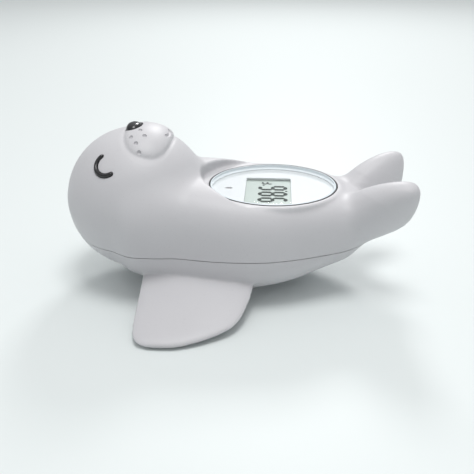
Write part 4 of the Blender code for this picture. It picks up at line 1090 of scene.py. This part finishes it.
def display():
    half_x, half_y, thick = LCD_GLASS[0] / 2, LCD_GLASS[1] / 2, LCD_GLASS[2]
    near, far = LCD_Y - half_y, LCD_Y + half_y
    left, right = LCD_X - half_x, LCD_X + half_x
    upper = block("display_panel", (left, near, LCD_TOP - thick / 2), (right, far, LCD_TOP))
    half_x -= 2 * MM
    left, right = LCD_X - half_x, LCD_X + half_x
    lower = block("lower glass", (left, near, LCD_TOP - thick), (right, far, LCD_TOP - MM))
    panel = join(upper, lower)
    finish_piece(panel, display_glass(), "display_glass", "lcd_panel")
    flats = []
    for letter, centre in DIGITS:
        for outline in segment_outlines(SEGMENTS[letter], DIGIT_WIDTH, DIGIT_HEIGHT, STROKE):
            flats.append([point + Vector((centre * MM, 0)) for point in outline])
    flats.append(dot_outline(0.05 * MM, -DIGIT_HEIGHT / 2 + 0.5 * MM))
    small = Vector((UNIT_RIGHT, DIGIT_HEIGHT / 2 - UNIT_DOWN))
    for outline in segment_outlines(SEGMENTS["F"], *UNIT):
        flats.append([point + small for point in outline])
    flats.append(dot_outline(*(small + Vector((-2.6 * MM, 1.7 * MM)))))
    digits = scene_object("display_digits", ink_mesh("display_digits", flats))
    finish_piece(digits, digit_ink(), "black_resin")


display()

# %% [markdown]
# Underneath are the pieces that do the work: a round battery door on three screws, a steel cap
# over the temperature sensor and two steel studs that feel the water.

# %% Metal and screws


def brushed_steel():
    paint = Paint("stainless steel", Metallic=1.0)
    streak = paint.noise(0.4 * MM, 4.0)
    paint.set("Base Color", paint.mix(streak, (0.56, 0.56, 0.57), (0.68, 0.68, 0.69)))
    paint.set("Roughness", 0.20 + 0.15 * streak)
    paint.bump(streak, 0.01 * MM, 0.3)
    return paint.material


STEEL = brushed_steel()


def rounded(bottom, start, radius, *steps):
    """Levels of a rounded lower edge: it starts at this radius and turns upright."""
    turns = [radians(step) for step in steps]
    return [(bottom + radius * (1 - cos(a)), start + radius * sin(a)) for a in turns]


def pan_screw(name, at, seat, node):
    """A pan-head screw whose head hangs under its seat, with a cross recess."""
    head, radius, shank = 1.3 * MM, 1.7 * MM, 0.9 * MM
    levels = [(seat - head, 0.2 * MM), (seat - head, 0.55 * radius)]
    for a in map(radians, (15, 30, 45, 60, 75, 90)):
        height = seat - head + 0.55 * head * (1 - cos(a))
        levels.append((height, radius * (0.55 + 0.45 * sin(a))))
    levels += [(seat, radius), (seat, shank), (seat + 4.6 * MM, shank), (seat + 5.5 * MM, 0.4 * MM)]
    made = upright(name, at, levels, 40)
    long, short, depth = 0.62 * radius, 0.15 * radius, 0.6 * head
    bars = []
    for x, y in ((long, short), (short, long)):
        low = (at[0] - x, at[1] - y, seat - head - MM)
        bars.append(block("bar", low, (at[0] + x, at[1] + y, seat - head + depth)))
    made = cut(made, join(bars[0], bars[1]))
    finish_piece(made, STEEL, "stainless_steel", node)


def battery_door():
    at = (PAD_X, 0)
    edge = 0.45 * MM
    plug, top = BAY_RADIUS - 0.6 * MM, DOOR_THICKNESS + MM
    levels = [(0, 0.5 * MM), (0, DOOR_RADIUS - edge)]
    levels += rounded(0, DOOR_RADIUS - edge, edge, 30, 60, 90)
    levels += [(DOOR_THICKNESS, DOOR_RADIUS), (DOOR_THICKNESS, plug), (top, plug), (top, 0.5 * MM)]
    door = upright("bay_door", at, levels, 128)
    pocket = [(-MM, 2.2 * MM), (0, 2.2 * MM), (0.2 * MM, 2.0 * MM), (1.5 * MM, 2.0 * MM)]
    cuts = []
    for place in ring_of_screws():
        cuts.append(upright("head pocket", place, pocket, 48))
        cuts.append(rod("screw hole", place, BORE_RADIUS, 0, 4 * MM, 24))
    ring = rod("ring", at, 9.4 * MM, -MM, 0.35 * MM, 96)
    core = rod("core", at, 8.6 * MM, -2 * MM, MM, 96)
    cuts.append(cut(ring, core))
    door = cut(door, *cuts)
    finish_piece(door, SHELL, "grey_shell", "battery_door")
    for i, place in enumerate(ring_of_screws()):
        pan_screw(f"door_fixing_{i + 1}", place, 1.35 * MM, f"door_screw_{i + 1}")


def sensor_cap():
    tip, edge, inner, flange = 1.4 * MM, 0.9 * MM, 2.6 * MM, 4.8 * MM
    low, high = 7.2 * MM, 7.8 * MM
    levels = [(tip, 0.2 * MM)] + rounded(tip, PROBE_RADIUS - edge, edge, 0, 20, 40, 60, 80, 90)
    levels += [(low, PROBE_RADIUS), (low, flange), (high, flange), (high, inner)]
    levels += [(1.8 * MM, inner), (1.8 * MM, 0.2 * MM)]
    cap = upright("sensor_cap", PROBE_AT, levels, 64)
    finish_piece(cap, STEEL, "stainless_steel", "probe_cap")


def water_studs():
    top, flat, edge = 6.3 * MM, 1.9 * MM, 0.7 * MM
    low = top - 1.1 * MM
    levels = [(low, 0.2 * MM), (low, flat)] + rounded(low, flat, edge, 30, 60, 90)
    levels += [(top, STUD_HEAD), (top, STUD_RADIUS), (12.7 * MM, STUD_RADIUS)]
    for place, word in zip(STUDS, ("right", "left")):
        stud = upright(f"{word}_water_stud", place, levels, 56)
        finish_piece(stud, STEEL, "stainless_steel", f"{word}_water_contact")


battery_door()
sensor_cap()
water_studs()

# %% [markdown]
# The sealed pieces inside keep their CAD shape. Each still gets the finish of the real thing, so
# that an opened or cut-away view looks right too.

# %% Finishes of the sealed pieces


def plastic(name, colour, roughness=0.4):
    paint = Paint(name)
    drift = paint.noise(2 * MM, 3.0)
    paint.set("Base Color", paint.mix(drift, tint(colour, 0.9), tint(colour, 1.1)))
    paint.set("Roughness", roughness + 0.1 * drift)
    paint.bump(paint.noise(0.3 * MM), 0.01 * MM, 0.4)
    return paint.material


def metal(name, colour, roughness=0.25):
    paint = Paint(name, Metallic=1.0)
    grain = paint.noise(0.5 * MM, 4.0)
    paint.set("Base Color", paint.mix(grain, tint(colour, 0.88), tint(colour, 1.1)))
    paint.set("Roughness", roughness + 0.12 * grain)
    return paint.material


def board_green():
    paint = Paint("green board", Coat_Weight=0.4)
    sockets = {"Vector": paint.place(), "Scale": 300.0, "Mortar Size": 0.04}
    sockets.update(Color1=(0.02, 0.16, 0.07), Color2=(0.02, 0.15, 0.065), Mortar=(0.04, 0.24, 0.11))
    paint.set("Base Color", paint.node("ShaderNodeTexBrick", {"offset": 0.5}, sockets))
    paint.set("Roughness", 0.28 + 0.10 * paint.noise(3 * MM))
    return paint.material


def coat(material, *nodes):
    """Gives the CAD nodes that stay in view this material."""
    for name in nodes:
        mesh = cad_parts[name].data
        mesh.materials.clear()
        mesh.materials.append(material)
    print(material.name, "on", len(nodes), "nodes")


coat(STEEL, *(f"board_screw_{i}" for i in (1, 2, 3, 4)))
coat(STEEL, "left_contact_nut", "right_contact_nut")
coat(metal("cell steel", (0.62, 0.62, 0.60)), "coin_cell")
coat(metal("nickel spring", (0.66, 0.62, 0.52)), "positive_contact", "negative_contact")
coat(metal("tinned can", (0.55, 0.55, 0.54), 0.35), "crystal_can")
coat(rubber("black seal rubber", (0.02, 0.02, 0.02)), "door_seal", "probe_seal")
ZEBRA = rubber("grey contact rubber", (0.16, 0.16, 0.18))
coat(ZEBRA, "zebra_strip_head", "zebra_strip_tail")
coat(plastic("white carrier", (0.78, 0.78, 0.78)), "lcd_frame")
coat(board_green(), "circuit_board")
coat(plastic("potting resin", (0.012, 0.012, 0.012), 0.25), "chip_blob")
CERAMIC = plastic("chip ceramic", (0.30, 0.24, 0.18), 0.5)
coat(CERAMIC, "resistor_1", "resistor_2", "capacitor")
coat(plastic("glazed bead", (0.25, 0.12, 0.06), 0.15), "thermistor")
coat(plastic("dull red lamp resin", (0.42, 0.33, 0.33), 0.25), "warning_led")
coat(plastic("red sleeve", (0.50, 0.02, 0.02)), "battery_plus_wire")
coat(plastic("black sleeve", (0.02, 0.02, 0.02)), "battery_minus_wire")
coat(plastic("white sleeve", (0.70, 0.70, 0.70)), "left_probe_wire", "right_probe_wire")
coat(plastic("blue sleeve", (0.05, 0.10, 0.40)), "left_contact_wire", "right_contact_wire")

# %% [markdown]
# The floor is a plain pale sheet, with the faint green of the water that such a toy floats in.

# %% Floor


def floor():
    paint = Paint("pale floor", Base_Color=(0.755, 0.80, 0.795), Roughness=0.5)
    bm = bmesh.new()
    bmesh.ops.create_grid(bm, x_segments=1, y_segments=1, size=4)
    obj = scene_object("floor", mesh_from("floor", bm))
    obj.data.materials.append(paint.material)
    obj.location.z = -0.05 * MM


floor()
